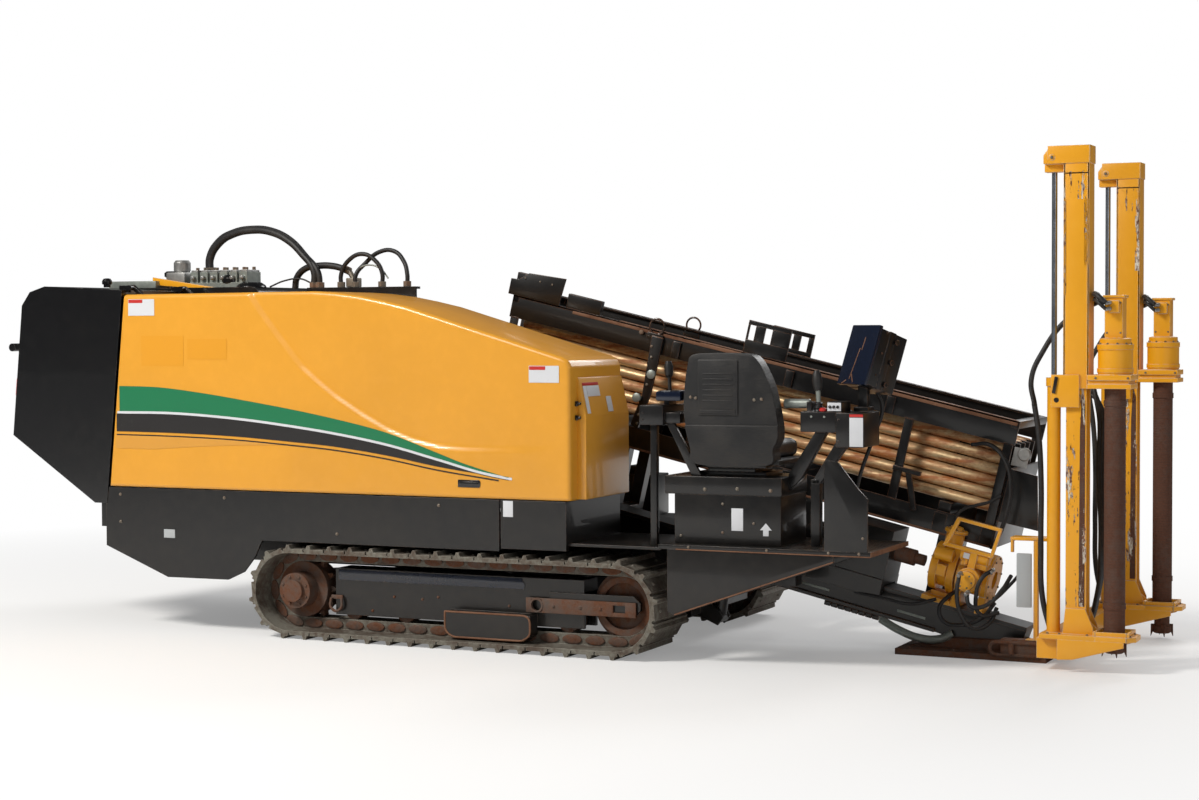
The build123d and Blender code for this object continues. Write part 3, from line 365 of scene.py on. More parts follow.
class Shape:
    """Collects solids in one mesh, in metres, and makes the finished piece."""

    def __init__(self, place=None):
        self.mesh = bmesh.new()
        self.place = place or WORLD

    def _add(self, made, local=None):
        matrix = self.place @ (local or WORLD)
        for vertex in made:
            vertex.co = matrix @ vertex.co
        return self

    def _soften(self, made, offset):
        """Bevels every edge of new vertices and returns the vertices that are left."""
        edges = list({e for v in made for e in v.link_edges})
        cut = bmesh.ops.bevel(self.mesh, geom=edges, offset=offset, segments=2, profile=0.6,
                              affect="EDGES")
        return list({v for f in cut["faces"] for v in f.verts} | {v for v in made if v.is_valid})

    def _circle(self, centre, across, third, radius, sides):
        return [self.mesh.verts.new(centre + (across * math.cos(t) + third * math.sin(t)) * radius)
                for t in (2 * math.pi * k / sides for k in range(sides))]

    def _skin(self, rings, closed=False):
        """Faces from ring to ring, with end caps unless the last ring joins the first."""
        sides = len(rings[0])
        caps = () if closed else (rings[0], list(reversed(rings[-1])))
        faces = [self.mesh.faces.new(cap) for cap in caps]
        for low, high in zip(rings, rings[1:] + (rings[:1] if closed else [])):
            for k in range(sides):
                n = (k + 1) % sides
                faces.append(self.mesh.faces.new((low[n], low[k], high[k], high[n])))
        bmesh.ops.recalc_face_normals(self.mesh, faces=faces)
        return self._add([v for ring in rings for v in ring])

    def block(self, x0, x1, y0, y1, z0, z1, bevel=0.003, turn=None):
        """A block with softened edges; turn is (axis, degrees) round its own middle."""
        middle = Vector(((x0 + x1) / 2, (y0 + y1) / 2, (z0 + z1) / 2))
        size = (abs(x1 - x0), abs(y1 - y0), abs(z1 - z0))
        made = bmesh.ops.create_cube(self.mesh, size=1.0)["verts"]
        bmesh.ops.scale(self.mesh, vec=size, verts=made)
        bevel = min(bevel, min(size) * 0.3)
        if bevel > 0:
            made = self._soften(made, bevel)
        local = Matrix.Translation(middle)
        if turn:
            local = local @ Matrix.Rotation(math.radians(turn[1]), 4, turn[0])
        return self._add(made, local)

    def prism(self, points, low, high, axis="Y", bevel=0.003):
        """A flat outline drawn out along an axis. The outline is in the other two axes, in order."""
        def at(a, b, c):
            return {"Y": (a, c, b), "X": (c, a, b), "Z": (a, b, c)}[axis]
        first = [self.mesh.verts.new(at(a, b, low)) for a, b in points]
        second = [self.mesh.verts.new(at(a, b, high)) for a, b in points]
        faces = [self.mesh.faces.new(first), self.mesh.faces.new(list(reversed(second)))]
        count = len(points)
        for i in range(count):
            j = (i + 1) % count
            faces.append(self.mesh.faces.new((first[j], first[i], second[i], second[j])))
        bmesh.ops.recalc_face_normals(self.mesh, faces=faces)
        made = first + second
        if bevel > 0:
            made = self._soften(made, min(bevel, abs(high - low) * 0.3))
        return self._add(made)

    def lathe(self, profile, start, end, sides=32):
        """A profile of (distance, radius) turned round the line from start to end."""
        start, end = Vector(start), Vector(end)
        along = (end - start).normalized()
        across = along.orthogonal().normalized()
        third = along.cross(across)
        return self._skin([self._circle(start + along * distance, across, third, radius, sides)
                           for distance, radius in profile])

    def rod(self, start, end, radius, sides=24, soft=0.0015):
        """A round bar with softened ends."""
        length = (Vector(end) - Vector(start)).length
        soft = min(soft, radius * 0.3, length * 0.3)
        return self.lathe([(0, radius - soft), (soft, radius), (length - soft, radius),
                           (length, radius - soft)], start, end, sides)

    def ring(self, start, end, outer, inner, sides=32):
        """A short tube."""
        start, end = Vector(start), Vector(end)
        along = (end - start).normalized()
        across = along.orthogonal().normalized()
        third = along.cross(across)
        corners = ((start, inner), (start, outer), (end, outer), (end, inner))
        return self._skin([self._circle(centre, across, third, radius, sides)
                           for centre, radius in corners], True)

    def bolt(self, at, direction, size=0.012):
        """A hexagon head with its washer."""
        at, direction, size = Vector(at), Vector(direction).normalized(), size * 0.72
        self.lathe([(-0.002, size * 1.15), (0.002, size * 1.15)], at, at + direction, 20)
        head = [(0.0, size * 0.95), (size * 0.55, size * 0.95), (size * 0.7, size * 0.75)]
        return self.lathe(head, at + direction * 0.002, at + direction, 6)

    def bolts(self, spots, y, size, facing=-1):
        """Bolt heads at (x, z) on a face that looks along Y."""
        for x, z in spots:
            self.bolt((x, y, z), (0, facing, 0), size)
        return self

    def tube(self, points, radius, sides=14):
        """A bent round bar or pipe through points, with its corners rounded."""
        path = smooth_path([Vector(p) for p in points])
        rings = []
        tangent = (path[1] - path[0]).normalized()
        across = tangent.orthogonal().normalized()
        for i, point in enumerate(path):
            after = path[min(i + 1, len(path) - 1)]
            before = path[max(i - 1, 0)]
            tangent = (after - before).normalized()
            across = (across - tangent * across.dot(tangent)).normalized()
            rings.append(self._circle(point, across, tangent.cross(across), radius, sides))
        return self._skin(rings)

    def done(self, name, body, finish):
        """The finished piece, riding on its body."""
        return dress(object_from(name, self.mesh), body, finish)


def around(count, radius, start=0.0):
    """Even places on a circle round the origin."""
    return [(radius * math.cos(t), radius * math.sin(t))
            for t in (start + 2 * math.pi * k / count for k in range(count))]


def smooth_loop(points, steps=5):
    """A closed smooth curve through points of an outline."""
    count, path = len(points), []
    for i in range(count):
        before, start, end, after = (Vector(points[(i + k - 1) % count]) for k in range(4))
        for k in range(steps):
            t = k / steps
            square = 2 * before - 5 * start + 4 * end - after
            cube = 3 * start - before - 3 * end + after
            spot = (2 * start + (end - before) * t + square * t * t + cube * t ** 3) * 0.5
            path.append(spot.to_tuple())
    return path


def frame_between(shape, outer, inner, low, high, bevel=0.0):
    """Bars between two outlines with as many corners each."""
    for i in range(len(outer)):
        j = (i + 1) % len(outer)
        shape.prism([outer[i], outer[j], inner[j], inner[i]], low, high, "Y", bevel)


def in_place_of(shape, node, body, finish=None):
    """Finishes a piece that takes the place of a plainer solid of the same form."""
    piece = shape.done(f"{node}_form", body, finish or SLOTS[node])
    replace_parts(piece, node)
    return piece


def dress(piece, body, finish, smooth=32.0):
    """Gives a piece its finish, its shading, and the body that it rides on."""
    mesh = piece.data
    mesh.materials.clear()
    mesh.materials.append(FINISH[finish])
    for polygon in mesh.polygons:
        polygon.use_smooth = True
    mesh.set_sharp_from_angle(angle=math.radians(smooth))
    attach(piece, body)
    finish if finish in RECORD_SLOTS else NEAR_SLOT.get(finish, "black_paint")
    return piece


def smooth_path(points, steps=6):
    """Points along straight runs whose corners are rounded."""
    path = [points[0]]
    for before, corner, after in zip(points, points[1:], points[2:]):
        reach = 0.45 * min((corner - before).length, (after - corner).length)
        enter = corner + (before - corner).normalized() * reach
        leave = corner + (after - corner).normalized() * reach
        for k in range(steps + 1):
            t = k / steps
            path.append(enter * (1 - t) ** 2 + corner * 2 * t * (1 - t) + leave * t ** 2)
    path.append(points[-1])
    return path


def curve_through(points):
    """A smooth reading of z against x through measured points."""
    def read(x):
        if x <= points[0][0]:
            return points[0][1]
        for (x0, z0), (x1, z1) in zip(points, points[1:]):
            if x <= x1:
                i = points.index((x0, z0))
                before = points[max(i - 1, 0)]
                after = points[min(i + 2, len(points) - 1)]
                m0 = (z1 - before[1]) / (x1 - before[0])
                m1 = (after[1] - z0) / (after[0] - x0)
                h = x1 - x0
                t = (x - x0) / h
                return ((2 * t ** 3 - 3 * t * t + 1) * z0 + (t ** 3 - 2 * t * t + t) * h * m0
                        + (3 * t * t - 2 * t ** 3) * z1 + (t ** 3 - t * t) * h * m1)
        return points[-1][1]
    return read


# Hood

HOOD_NEAR, HOOD_FAR, HOOD_LOW = -1.0, -0.335, 0.828
HOOD_REAR_LOW = (-2.550, HOOD_LOW)
HOOD_REAR_TOP = (-2.437, 1.949)
HOOD_TOP = [HOOD_REAR_TOP, (-1.150, 1.955), (-1.000, 1.945), (-0.838, 1.925), (-0.700, 1.899),
            (-0.550, 1.866), (0.395, 1.590), (0.430, 1.572)]
HOOD_FRONT = 0.447
SWOOSH = [(-1.556, 1.927), (-1.495, 1.843), (-1.383, 1.710), (-1.228, 1.534), (-1.110, 1.443),
          (-1.007, 1.370), (-0.839, 1.272), (-0.673, 1.188), (-0.508, 1.130), (-0.345, 1.098),
          (-0.183, 1.090), (0.000, 1.091), (0.243, 1.096)]


def swoosh_step(x, z):
    """How far inside the crease a point is, from 0 to 1, fading out along the crease's ends."""
    best, side, along = 9.0, 0.0, 0.0
    for i, ((x0, z0), (x1, z1)) in enumerate(zip(SWOOSH, SWOOSH[1:])):
        run = Vector((x1 - x0, z1 - z0))
        t = max(0.0, min(1.0, Vector((x - x0, z - z0)).dot(run) / run.length_squared))
        gap = Vector((x - x0 - run.x * t, z - z0 - run.y * t))
        if gap.length < best:
            best = gap.length
            side = run.x * (z - z0) - run.y * (x - x0)
            along = (i + t) / (len(SWOOSH) - 1)
    across = best if side > 0 else -best
    if x < SWOOSH[0][0] and z > SWOOSH[0][1]:
        across = -best
    rise = max(0.0, min(1.0, across / 0.020 + 0.5))
    rise = rise * rise * (3 - 2 * rise)
    fade = max(0.0, min(1.0, (0.36 - x) / 0.75)) if along > 0.6 else 1.0
    inner = max(0.0, min(1.0, 1 - (across - 0.01) / 0.75))
    return rise * fade * inner


def hood_side(x, z, depth=0.015):
    """Where the hood's near side is, with its pressed crease."""
    return HOOD_NEAR + depth * swoosh_step(x, z)


def make_hood(settings):
    """The hood's hollow shell, fine enough for the crease."""
    outline = [HOOD_REAR_LOW] + HOOD_TOP + [(HOOD_FRONT, 1.535), (HOOD_FRONT, HOOD_LOW)]
    shell = bmesh.new()
    near = [shell.verts.new((x, HOOD_NEAR, z)) for x, z in outline]
    far = [shell.verts.new((x, HOOD_FAR, z)) for x, z in outline]
    shell.faces.new(near)
    shell.faces.new(list(reversed(far)))
    count = len(outline)
    for i in range(1, count - 1):
        shell.faces.new((near[i + 1], near[i], far[i], far[i + 1]))
    bmesh.ops.recalc_face_normals(shell, faces=shell.faces[:])
    shell.edges.ensure_lookup_table()
    # Every edge of the two sides is rounded, apart from the open bottom's and the rear wall's
    ends = [(e, e.verts[0].co, e.verts[1].co) for e in shell.edges]
    rims = [e for e, a, b in ends
            if abs(a.y - b.y) < 1e-6 and max(a.z, b.z) > HOOD_LOW + 1e-6 and (a.x + b.x) / 2 > -2.49]
    bmesh.ops.bevel(shell, geom=rims, offset=settings.shoulder, segments=5, profile=0.5,
                    affect="EDGES", clamp_overlap=True)
    step = settings.fineness
    for axis, low, high in (((1, 0, 0), -2.55, 0.42), ((0, 0, 1), 0.83, 1.95)):
        for k in range(1, int((high - low) / step)):
            at = low + k * step
            spot = Vector(axis) * at
            bmesh.ops.bisect_plane(shell, geom=shell.verts[:] + shell.edges[:] + shell.faces[:],
                                   plane_co=spot, plane_no=axis)
    for vertex in shell.verts:
        if vertex.co.y < HOOD_NEAR + 0.0001:
            vertex.co.y = hood_side(vertex.co.x, vertex.co.z, settings.crease)
        elif vertex.co.y < HOOD_NEAR + settings.shoulder + 0.001:
            share = max(0, 1 - (vertex.co.y - HOOD_NEAR) / settings.shoulder)
            vertex.co.y += settings.crease * swoosh_step(vertex.co.x, vertex.co.z) * share
    hood = object_from("hood_shell", shell)
    wall = hood.modifiers.new("wall", "SOLIDIFY")
    wall.thickness = settings.wall
    wall.offset = -1
    return hood


def film(name, top, bottom, x0, x1, finish, lift=0.0016, thick=0.001, steps=180, rows=8):
    """A strip of printed film on the hood's side, between two curves."""
    sheet = bmesh.new()
    grids = []
    for depth in (lift + thick, lift):
        grid = []
        for i in range(steps + 1):
            x = x0 + (x1 - x0) * i / steps
            high, low = top(x), bottom(x)
            grid.append([sheet.verts.new((x, hood_side(x, z) - depth, z))
                         for z in (low + (high - low) * k / rows for k in range(rows + 1))])
        grids.append(grid)
    outer, inner = grids
    for i in range(steps):
        for k in range(rows):
            sheet.faces.new((outer[i][k], outer[i + 1][k], outer[i + 1][k + 1], outer[i][k + 1]))
            sheet.faces.new((inner[i][k + 1], inner[i + 1][k + 1], inner[i + 1][k], inner[i][k]))
        for k in (0, rows):
            sheet.faces.new((outer[i][k], inner[i][k], inner[i + 1][k], outer[i + 1][k]))
    for i in (0, steps):
        for k in range(rows):
            sheet.faces.new((outer[i][k], outer[i][k + 1], inner[i][k + 1], inner[i][k]))
    bmesh.ops.recalc_face_normals(sheet, faces=sheet.faces[:])
    return dress(object_from(name, sheet), "hood", finish)


GREEN_TOP = curve_through([(-2.481, 1.415), (-2.199, 1.409), (-1.892, 1.378), (-1.591, 1.337),
                           (-1.235, 1.283), (-0.900, 1.222), (-0.673, 1.171), (-0.508, 1.119),
                           (-0.345, 1.063), (-0.184, 1.010), (0.094, 0.937)])
WHITE_LINE = curve_through([(-2.494, 1.261), (-2.097, 1.260), (-1.692, 1.237), (-1.353, 1.204),
                            (-1.009, 1.161), (-0.673, 1.105), (-0.345, 1.028), (-0.100, 0.968),
                            (0.094, 0.936)])
BLACK_LOW = curve_through([(-2.500, 1.150), (-2.099, 1.146), (-1.693, 1.134), (-1.300, 1.110),
                           (-1.010, 1.088), (-0.674, 1.046), (-0.345, 0.991), (0.094, 0.936)])


# Cushions

def cushion(name, node, seams, drop):
    """A crowned pad: the CAD pad's box, remeshed, puffed by pressure, then its seams drawn in."""
    low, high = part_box(node)
    size = high - low
    middle = (low + high) / 2
    pad = bmesh.new()
    bmesh.ops.create_cube(pad, size=1.0)
    bmesh.ops.scale(pad, vec=(size.x * 0.93, size.y * 0.93, size.z * 0.93), verts=pad.verts)
    bmesh.ops.bevel(pad, geom=pad.edges[:], offset=min(size) * 0.3, segments=4, profile=0.5,
                    affect="EDGES")
    bmesh.ops.translate(pad, vec=middle, verts=pad.verts)
    piece = object_from(name, pad)
    apply(piece, "REMESH", mode="VOXEL", voxel_size=0.006)
    cloth = piece.modifiers.new("cloth", "CLOTH")
    cloth.settings.use_pressure = True
    cloth.settings.uniform_pressure_force = 4.0
    cloth.settings.effector_weights.gravity = 0.0
    rest = [v.co.copy() for v in piece.data.vertices]
    for number in range(1, 21):
        bpy.context.scene.frame_set(number)
    graph = bpy.context.evaluated_depsgraph_get()
    puffed = bpy.data.meshes.new_from_object(piece.evaluated_get(graph))
    piece.modifiers.clear()
    piece.data = puffed
    bpy.context.scene.frame_set(1)
    for vertex, start in zip(piece.data.vertices, rest):
        move = vertex.co - start
        if move.length > 0.012:
            vertex.co = start + move.normalized() * 0.012
    for vertex in piece.data.vertices:
        co = vertex.co
        for axis, at in seams:
            gap = abs(co[axis] - (low[axis] + size[axis] * at))
            groove = 0.007 * math.exp(-(gap / 0.007) ** 2)
            co[drop] += groove if co[drop] < middle[drop] else -groove
        for axis in range(3):
            co[axis] = max(low[axis] - 0.004, min(high[axis] + 0.006, co[axis]))
    smoothing = piece.modifiers.new("smooth", "SUBSURF")
    smoothing.levels = smoothing.render_levels = 1
    dress(piece, "chassis", "seat_vinyl", 180.0)
    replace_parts(piece, node)
    return piece


def apply(piece, kind, **settings):
    """Applies one modifier for good."""
    modifier = piece.modifiers.new(kind.lower(), kind)
    for key, value in settings.items():
        setattr(modifier, key, value)
    graph = bpy.context.evaluated_depsgraph_get()
    mesh = bpy.data.meshes.new_from_object(piece.evaluated_get(graph))
    piece.modifiers.clear()
    piece.data = mesh


# Hoses

def hose(name, points, radius, body, finish="hose_rubber", place=None):
    """A hose along a smooth curve through its route's points."""
    curve = bpy.data.curves.new(name, "CURVE")
    curve.dimensions = "3D"
    spline = curve.splines.new("BEZIER")
    spline.bezier_points.add(len(points) - 1)
    for point, spot in zip(spline.bezier_points, points):
        point.co = place @ Vector(spot) if place else spot
        point.handle_left_type = point.handle_right_type = "AUTO"
    spline.resolution_u = 8
    curve.bevel_depth = radius
    curve.bevel_resolution = 5
    curve.use_fill_caps = True
    piece = placed(name, curve)
    curve.materials.append(FINISH[finish])
    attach(piece, body)
    return piece


SHELF_Y, SHELF_Z = -0.283, 1.990
ARCH = [(-2.420, -0.155, 2.095), (-2.420, -0.155, 2.180), (-2.350, -0.165, 2.270),
        (-2.230, -0.185, 2.325), (-2.080, -0.205, 2.345), (-1.930, -0.228, 2.330),
        (-1.790, -0.250, 2.275), (-1.680, -0.268, 2.190), (-1.590, SHELF_Y, 2.090),
        (-1.590, SHELF_Y, SHELF_Z)]
ARCH_TWIN = [(-2.455, -0.130, 2.11), (-2.450, -0.130, 2.19), (-2.375, -0.142, 2.285),
             (-2.245, -0.165, 2.340), (-2.085, -0.190, 2.358), (-1.925, -0.215, 2.340),
             (-1.780, -0.240, 2.280), (-1.660, -0.262, 2.180), (-1.560, -0.283, 2.08),
             (-1.548, -0.283, 1.990)]
LOOPS = [
    [(-1.400, SHELF_Y, SHELF_Z), (-1.400, SHELF_Y, 2.070), (-1.345, SHELF_Y - 0.002, 2.150),
     (-1.250, SHELF_Y - 0.004, 2.185), (-1.165, SHELF_Y - 0.002, 2.145), (-1.120, SHELF_Y, 2.075),
     (-1.120, SHELF_Y, SHELF_Z)],
    [(-1.300, SHELF_Y, SHELF_Z), (-1.300, SHELF_Y, 2.060), (-1.255, SHELF_Y + 0.034, 2.130),
     (-1.165, SHELF_Y + 0.040, 2.195), (-1.060, SHELF_Y + 0.036, 2.200),
     (-0.985, SHELF_Y + 0.020, 2.140), (-0.950, SHELF_Y, 2.065), (-0.950, SHELF_Y, SHELF_Z)],
]


# Settings that a user would change

def color_setting(name, about, value):
    return bpy.props.FloatVectorProperty(name=name, description=about, subtype="COLOR", size=3,
                                         min=0.0, max=1.0, default=value)


def length_setting(name, about, value):
    return bpy.props.FloatProperty(name=name, description=about, subtype="DISTANCE", unit="LENGTH",
                                   min=0.0, default=value)


class DrillColors(bpy.types.PropertyGroup):
    hood_yellow: color_setting("Hood yellow", "Paint of the hood", srgb(219, 153, 44))
    anchor_yellow: color_setting("Anchor yellow", "Paint of the anchors and the vise",
                                 srgb(230, 159, 12))
    stripe_green: color_setting("Stripe green", "Upper band of the hood's stripe", srgb(22, 112, 72))


class DrillHood(bpy.types.PropertyGroup):
    shoulder: length_setting("Shoulder", "Rounding of the hood's edges", 0.026)
    crease: length_setting("Crease", "Depth of the pressed crease in the hood's side", 0.015)
    wall: length_setting("Wall", "Thickness of the hood's wall", 0.020)
    fineness: length_setting("Fineness", "Spacing of the mesh in the hood's side", 0.014)


class DrillStage(bpy.types.PropertyGroup):
    floor: color_setting("Floor", "Colour of the floor", (0.86, 0.86, 0.86))
    key: bpy.props.FloatProperty(name="Key light", description="Power of the large lamp, in watts",
                                 min=0.0, default=1270.0)
    fill: bpy.props.FloatProperty(name="Fill light", description="Power of the right lamp, in watts",
                                  min=0.0, default=90.0)
    ambient: bpy.props.FloatProperty(name="Ambient", description="Strength of the surroundings",
                                     min=0.0, default=0.30)


# Operators

class DRILL_OT_finishes(bpy.types.Operator):
    """Make the finishes and give each CAD node its own"""
    bl_idname = "drill.finishes"
    bl_label = "Finishes"

    def execute(self, context):
        FINISH.update(build_finishes(context.scene.drill_colors))
        special = {"anchor_auger_near": "auger_steel", "anchor_auger_far": "auger_steel"}
        for node, piece in frame["nodes"].items():
            piece.data.materials.clear()
            piece.data.materials.append(FINISH[special.get(node, SLOTS[node])])
        return {"FINISHED"}


class DRILL_OT_hood(bpy.types.Operator):
    """Build the hood with its pressed crease, nose panel and latch"""
    bl_idname = "drill.hood"
    bl_label = "Hood"

    def execute(self, context):
        hood = make_hood(context.scene.drill_hood)
        dress(hood, "hood", "yellow_paint", 40.0)
        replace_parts(hood, "hood")
        nose = Shape()
        nose.prism([(0.440, 0.830), (0.500, 0.830), (0.500, 1.275), (0.455, 1.480), (0.440, 1.480)],
                   -0.915, -0.355, "Y", 0.008)
        nose.done("hood_nose_panel", "hood", "yellow_paint")
        hinges = Shape()
        for y in (-0.920, -0.415):
            hinges.ring((-2.440, y, 1.990), (-2.440, y + 0.024, 1.990), 0.016, 0.0093)
            hinges.prism([(-2.438, 1.978), (-2.395, 1.944), (-2.360, 1.944), (-2.430, 2.003)],
                         y, y + 0.024, "Y", 0.002)
        hinges.done("hood_hinges", "hood", "black_paint")
        latch = Shape()
        latch.prism([(-0.229, 0.884), (-0.100, 0.884), (-0.092, 0.892), (-0.092, 0.916),
                     (-0.100, 0.925), (-0.229, 0.925)], -1.004, -0.999, "Y", 0.0015)
        latch.block(-0.218, -0.106, -1.007, -1.003, 0.896, 0.914, 0.002)
        for z in (1.342, 1.267):
            latch.block(0.447, 0.462, -0.945, -0.925, z - 0.014, z + 0.014, 0.003)
            latch.rod((0.462, -0.935, z), (0.478, -0.935, z), 0.008, 16)
        latch.done("hood_latches", "hood", "gloss_black")
        return {"FINISHED"}


class DRILL_OT_stripes(bpy.types.Operator):
    """Lay the coloured bands and blank plates on the hood"""
    bl_idname = "drill.stripes"
    bl_label = "Stripes"

    def execute(self, context):
        tail = 0.080
        film("stripe_green", lambda x: max(GREEN_TOP(x), WHITE_LINE(x) + 0.004),
             lambda x: WHITE_LINE(x) + 0.007, -2.478, tail, "green_film")
        film("stripe_white", lambda x: WHITE_LINE(x) + 0.007, lambda x: WHITE_LINE(x) - 0.007,
             -2.494, tail + 0.02, "white_film", 0.0014)
        film("stripe_black", lambda x: WHITE_LINE(x) - 0.007,
             lambda x: min(BLACK_LOW(x), WHITE_LINE(x) - 0.010), -2.500, tail, "black_film")
        film("stripe_pin", lambda x: BLACK_LOW(x) - 0.016, lambda x: BLACK_LOW(x) - 0.023,
             -2.500, 0.02, "black_film")
        film("stripe_fade", lambda x: BLACK_LOW(x) - 0.023,
             lambda x: BLACK_LOW(x) - 0.024 - 0.075 * max(0.0, min(1.0, (-1.35 - x) / 0.9)),
             -2.506, -1.36, "fade_film", 0.0010, steps=80, rows=3)
        for i, (x0, x1, z0, z1) in enumerate(((-2.319, -2.022, 1.533, 1.707),
                                              (-1.995, -1.723, 1.572, 1.689))):
            film(f"patch_{i}", lambda x, z1=z1: z1, lambda x, z0=z0: z0, x0, x1, "patch_film",
                 0.0006, 0.0008, steps=30, rows=6)
        plates = ((-2.408, -2.224, 1.825, 1.921), (0.203, 0.382, 1.454, 1.544))
        for i, (x0, x1, z0, z1) in enumerate(plates):
            film(f"plate_{i}", lambda x, z1=z1: z1, lambda x, z0=z0: z0, x0, x1, "white_film",
                 0.0012, 0.0010, steps=16, rows=4)
            film(f"plate_head_{i}", lambda x, z1=z1: z1 - 0.003, lambda x, z1=z1: z1 - 0.022,
                 x0 + 0.003, x0 + 0.55 * (x1 - x0), "red_film", 0.0024, 0.0008, steps=8, rows=2)
        slant = (Matrix.Translation((0.4775, 0, 1.3775))
                 @ Matrix.Rotation(math.radians(-12.1), 4, "Y"))
        signs, heads = Shape(slant), Shape(slant)
        for y0, y1, z0, z1 in ((-0.888, -0.850, -0.092, 0.058), (-0.846, -0.690, 0.000, 0.058),
                               (-0.622, -0.560, -0.090, -0.005)):
            signs.block(0.0005, 0.003, y0, y1, z0, z1, 0.0005)
        heads.block(0.0005, 0.003, -0.888, -0.690, 0.060, 0.076, 0.0005)
        signs.done("nose_signs", "hood", "white_film")
        heads.done("nose_sign_heads", "hood", "red_film")
        return {"FINISHED"}


class DRILL_OT_seat(bpy.types.Operator):
    """Pad the operator's seat"""
    bl_idname = "drill.seat"
    bl_label = "Seat"

    def execute(self, context):
        cushion("seat_pad", "seat_cushion", [(0, 0.25), (0, 0.75)], 2)
        cushion("back_pad", "back_cushion", [(0, 0.25), (0, 0.75)], 1)
        return {"FINISHED"}


class DRILL_OT_hoses(bpy.types.Operator):
    """Run the large hoses behind the hood"""
    bl_idname = "drill.hoses"
    bl_label = "Hoses"

    def execute(self, context):
        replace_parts(hose("hose_arch", ARCH, 0.021, "chassis"), "arch_hose")
        loops = [hose(f"hose_loop_{i}", route, 0.013, "chassis") for i, route in enumerate(LOOPS)]
        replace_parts(loops[0], "deck_hoses")
        return {"FINISHED"}


TRACK_Y = 0.800
REAR_X, FRONT_X, WHEEL_Z = -1.305, 0.695, 0.265
SHOES = 40
# Radii round the wheels: the belt's even pitch, the link pins, the outer face of the shoes
BELT_R, PIN_R, SHOE_R = 0.227, 0.191, 0.243
FRAME_FACE = 0.885


def loop_place(distance, radius):
    """Middle and direction on the track at a distance from under the sprocket, at its own radius."""
    run, turn_length = FRONT_X - REAR_X, math.pi * BELT_R
    distance %= 2 * (run + turn_length)
    if distance < run:
        return REAR_X + distance, WHEEL_Z - radius, 0.0
    distance -= run
    if distance < turn_length:
        turn = distance / BELT_R
        return FRONT_X + radius * math.sin(turn), WHEEL_Z - radius * math.cos(turn), turn
    distance -= turn_length
    if distance < run:
        return FRONT_X - distance, WHEEL_Z + radius, math.pi
    turn = math.pi + (distance - run) / BELT_R
    return REAR_X + radius * math.sin(turn), WHEEL_Z - radius * math.cos(turn), turn


def track_chain(side, out):
    """Link plates with their pin ends, and the shoe bolts, of one track."""
    pitch = 2 * (FRONT_X - REAR_X + math.pi * BELT_R) / SHOES
    middle = out * TRACK_Y
    links, bolts = Shape(), Shape()
    for number in range(SHOES):
        x, z, turn = loop_place((number + 0.5) * pitch, PIN_R)
        for row in (-0.067, 0.067):
            links.rod((x, middle + row - 0.009, z), (x, middle + row + 0.009, z), 0.021, 14)
        along = Vector((math.cos(turn), 0, math.sin(turn)))
        down = Vector((math.sin(turn), 0, -math.cos(turn)))
        outline = []
        for a, b in around(12, 1.0):
            spot = along * (a * (0.058 if abs(a) > 0.5 else 0.040)) + down * (0.026 * b)
            outline.append((x + spot.x, z + spot.z))
        face = middle + out * 0.0675
        links.prism(outline, min(face, face + out * 0.008), max(face, face + out * 0.008),
                    "Y", 0.002)
        x, z, turn = loop_place((number + 0.5) * pitch, SHOE_R)
        down = Vector((math.sin(turn), 0, -math.cos(turn)))
        x, z = x - 0.02 * math.cos(turn), z - 0.02 * math.sin(turn)
        for y in (-0.150, 0.150):
            bolts.bolt((x, middle + y, z), down, 0.011)
    links.done(f"track_links_{side}", "chassis", "rusty_steel")
    bolts.done(f"shoe_bolts_{side}", "chassis", "track_steel")


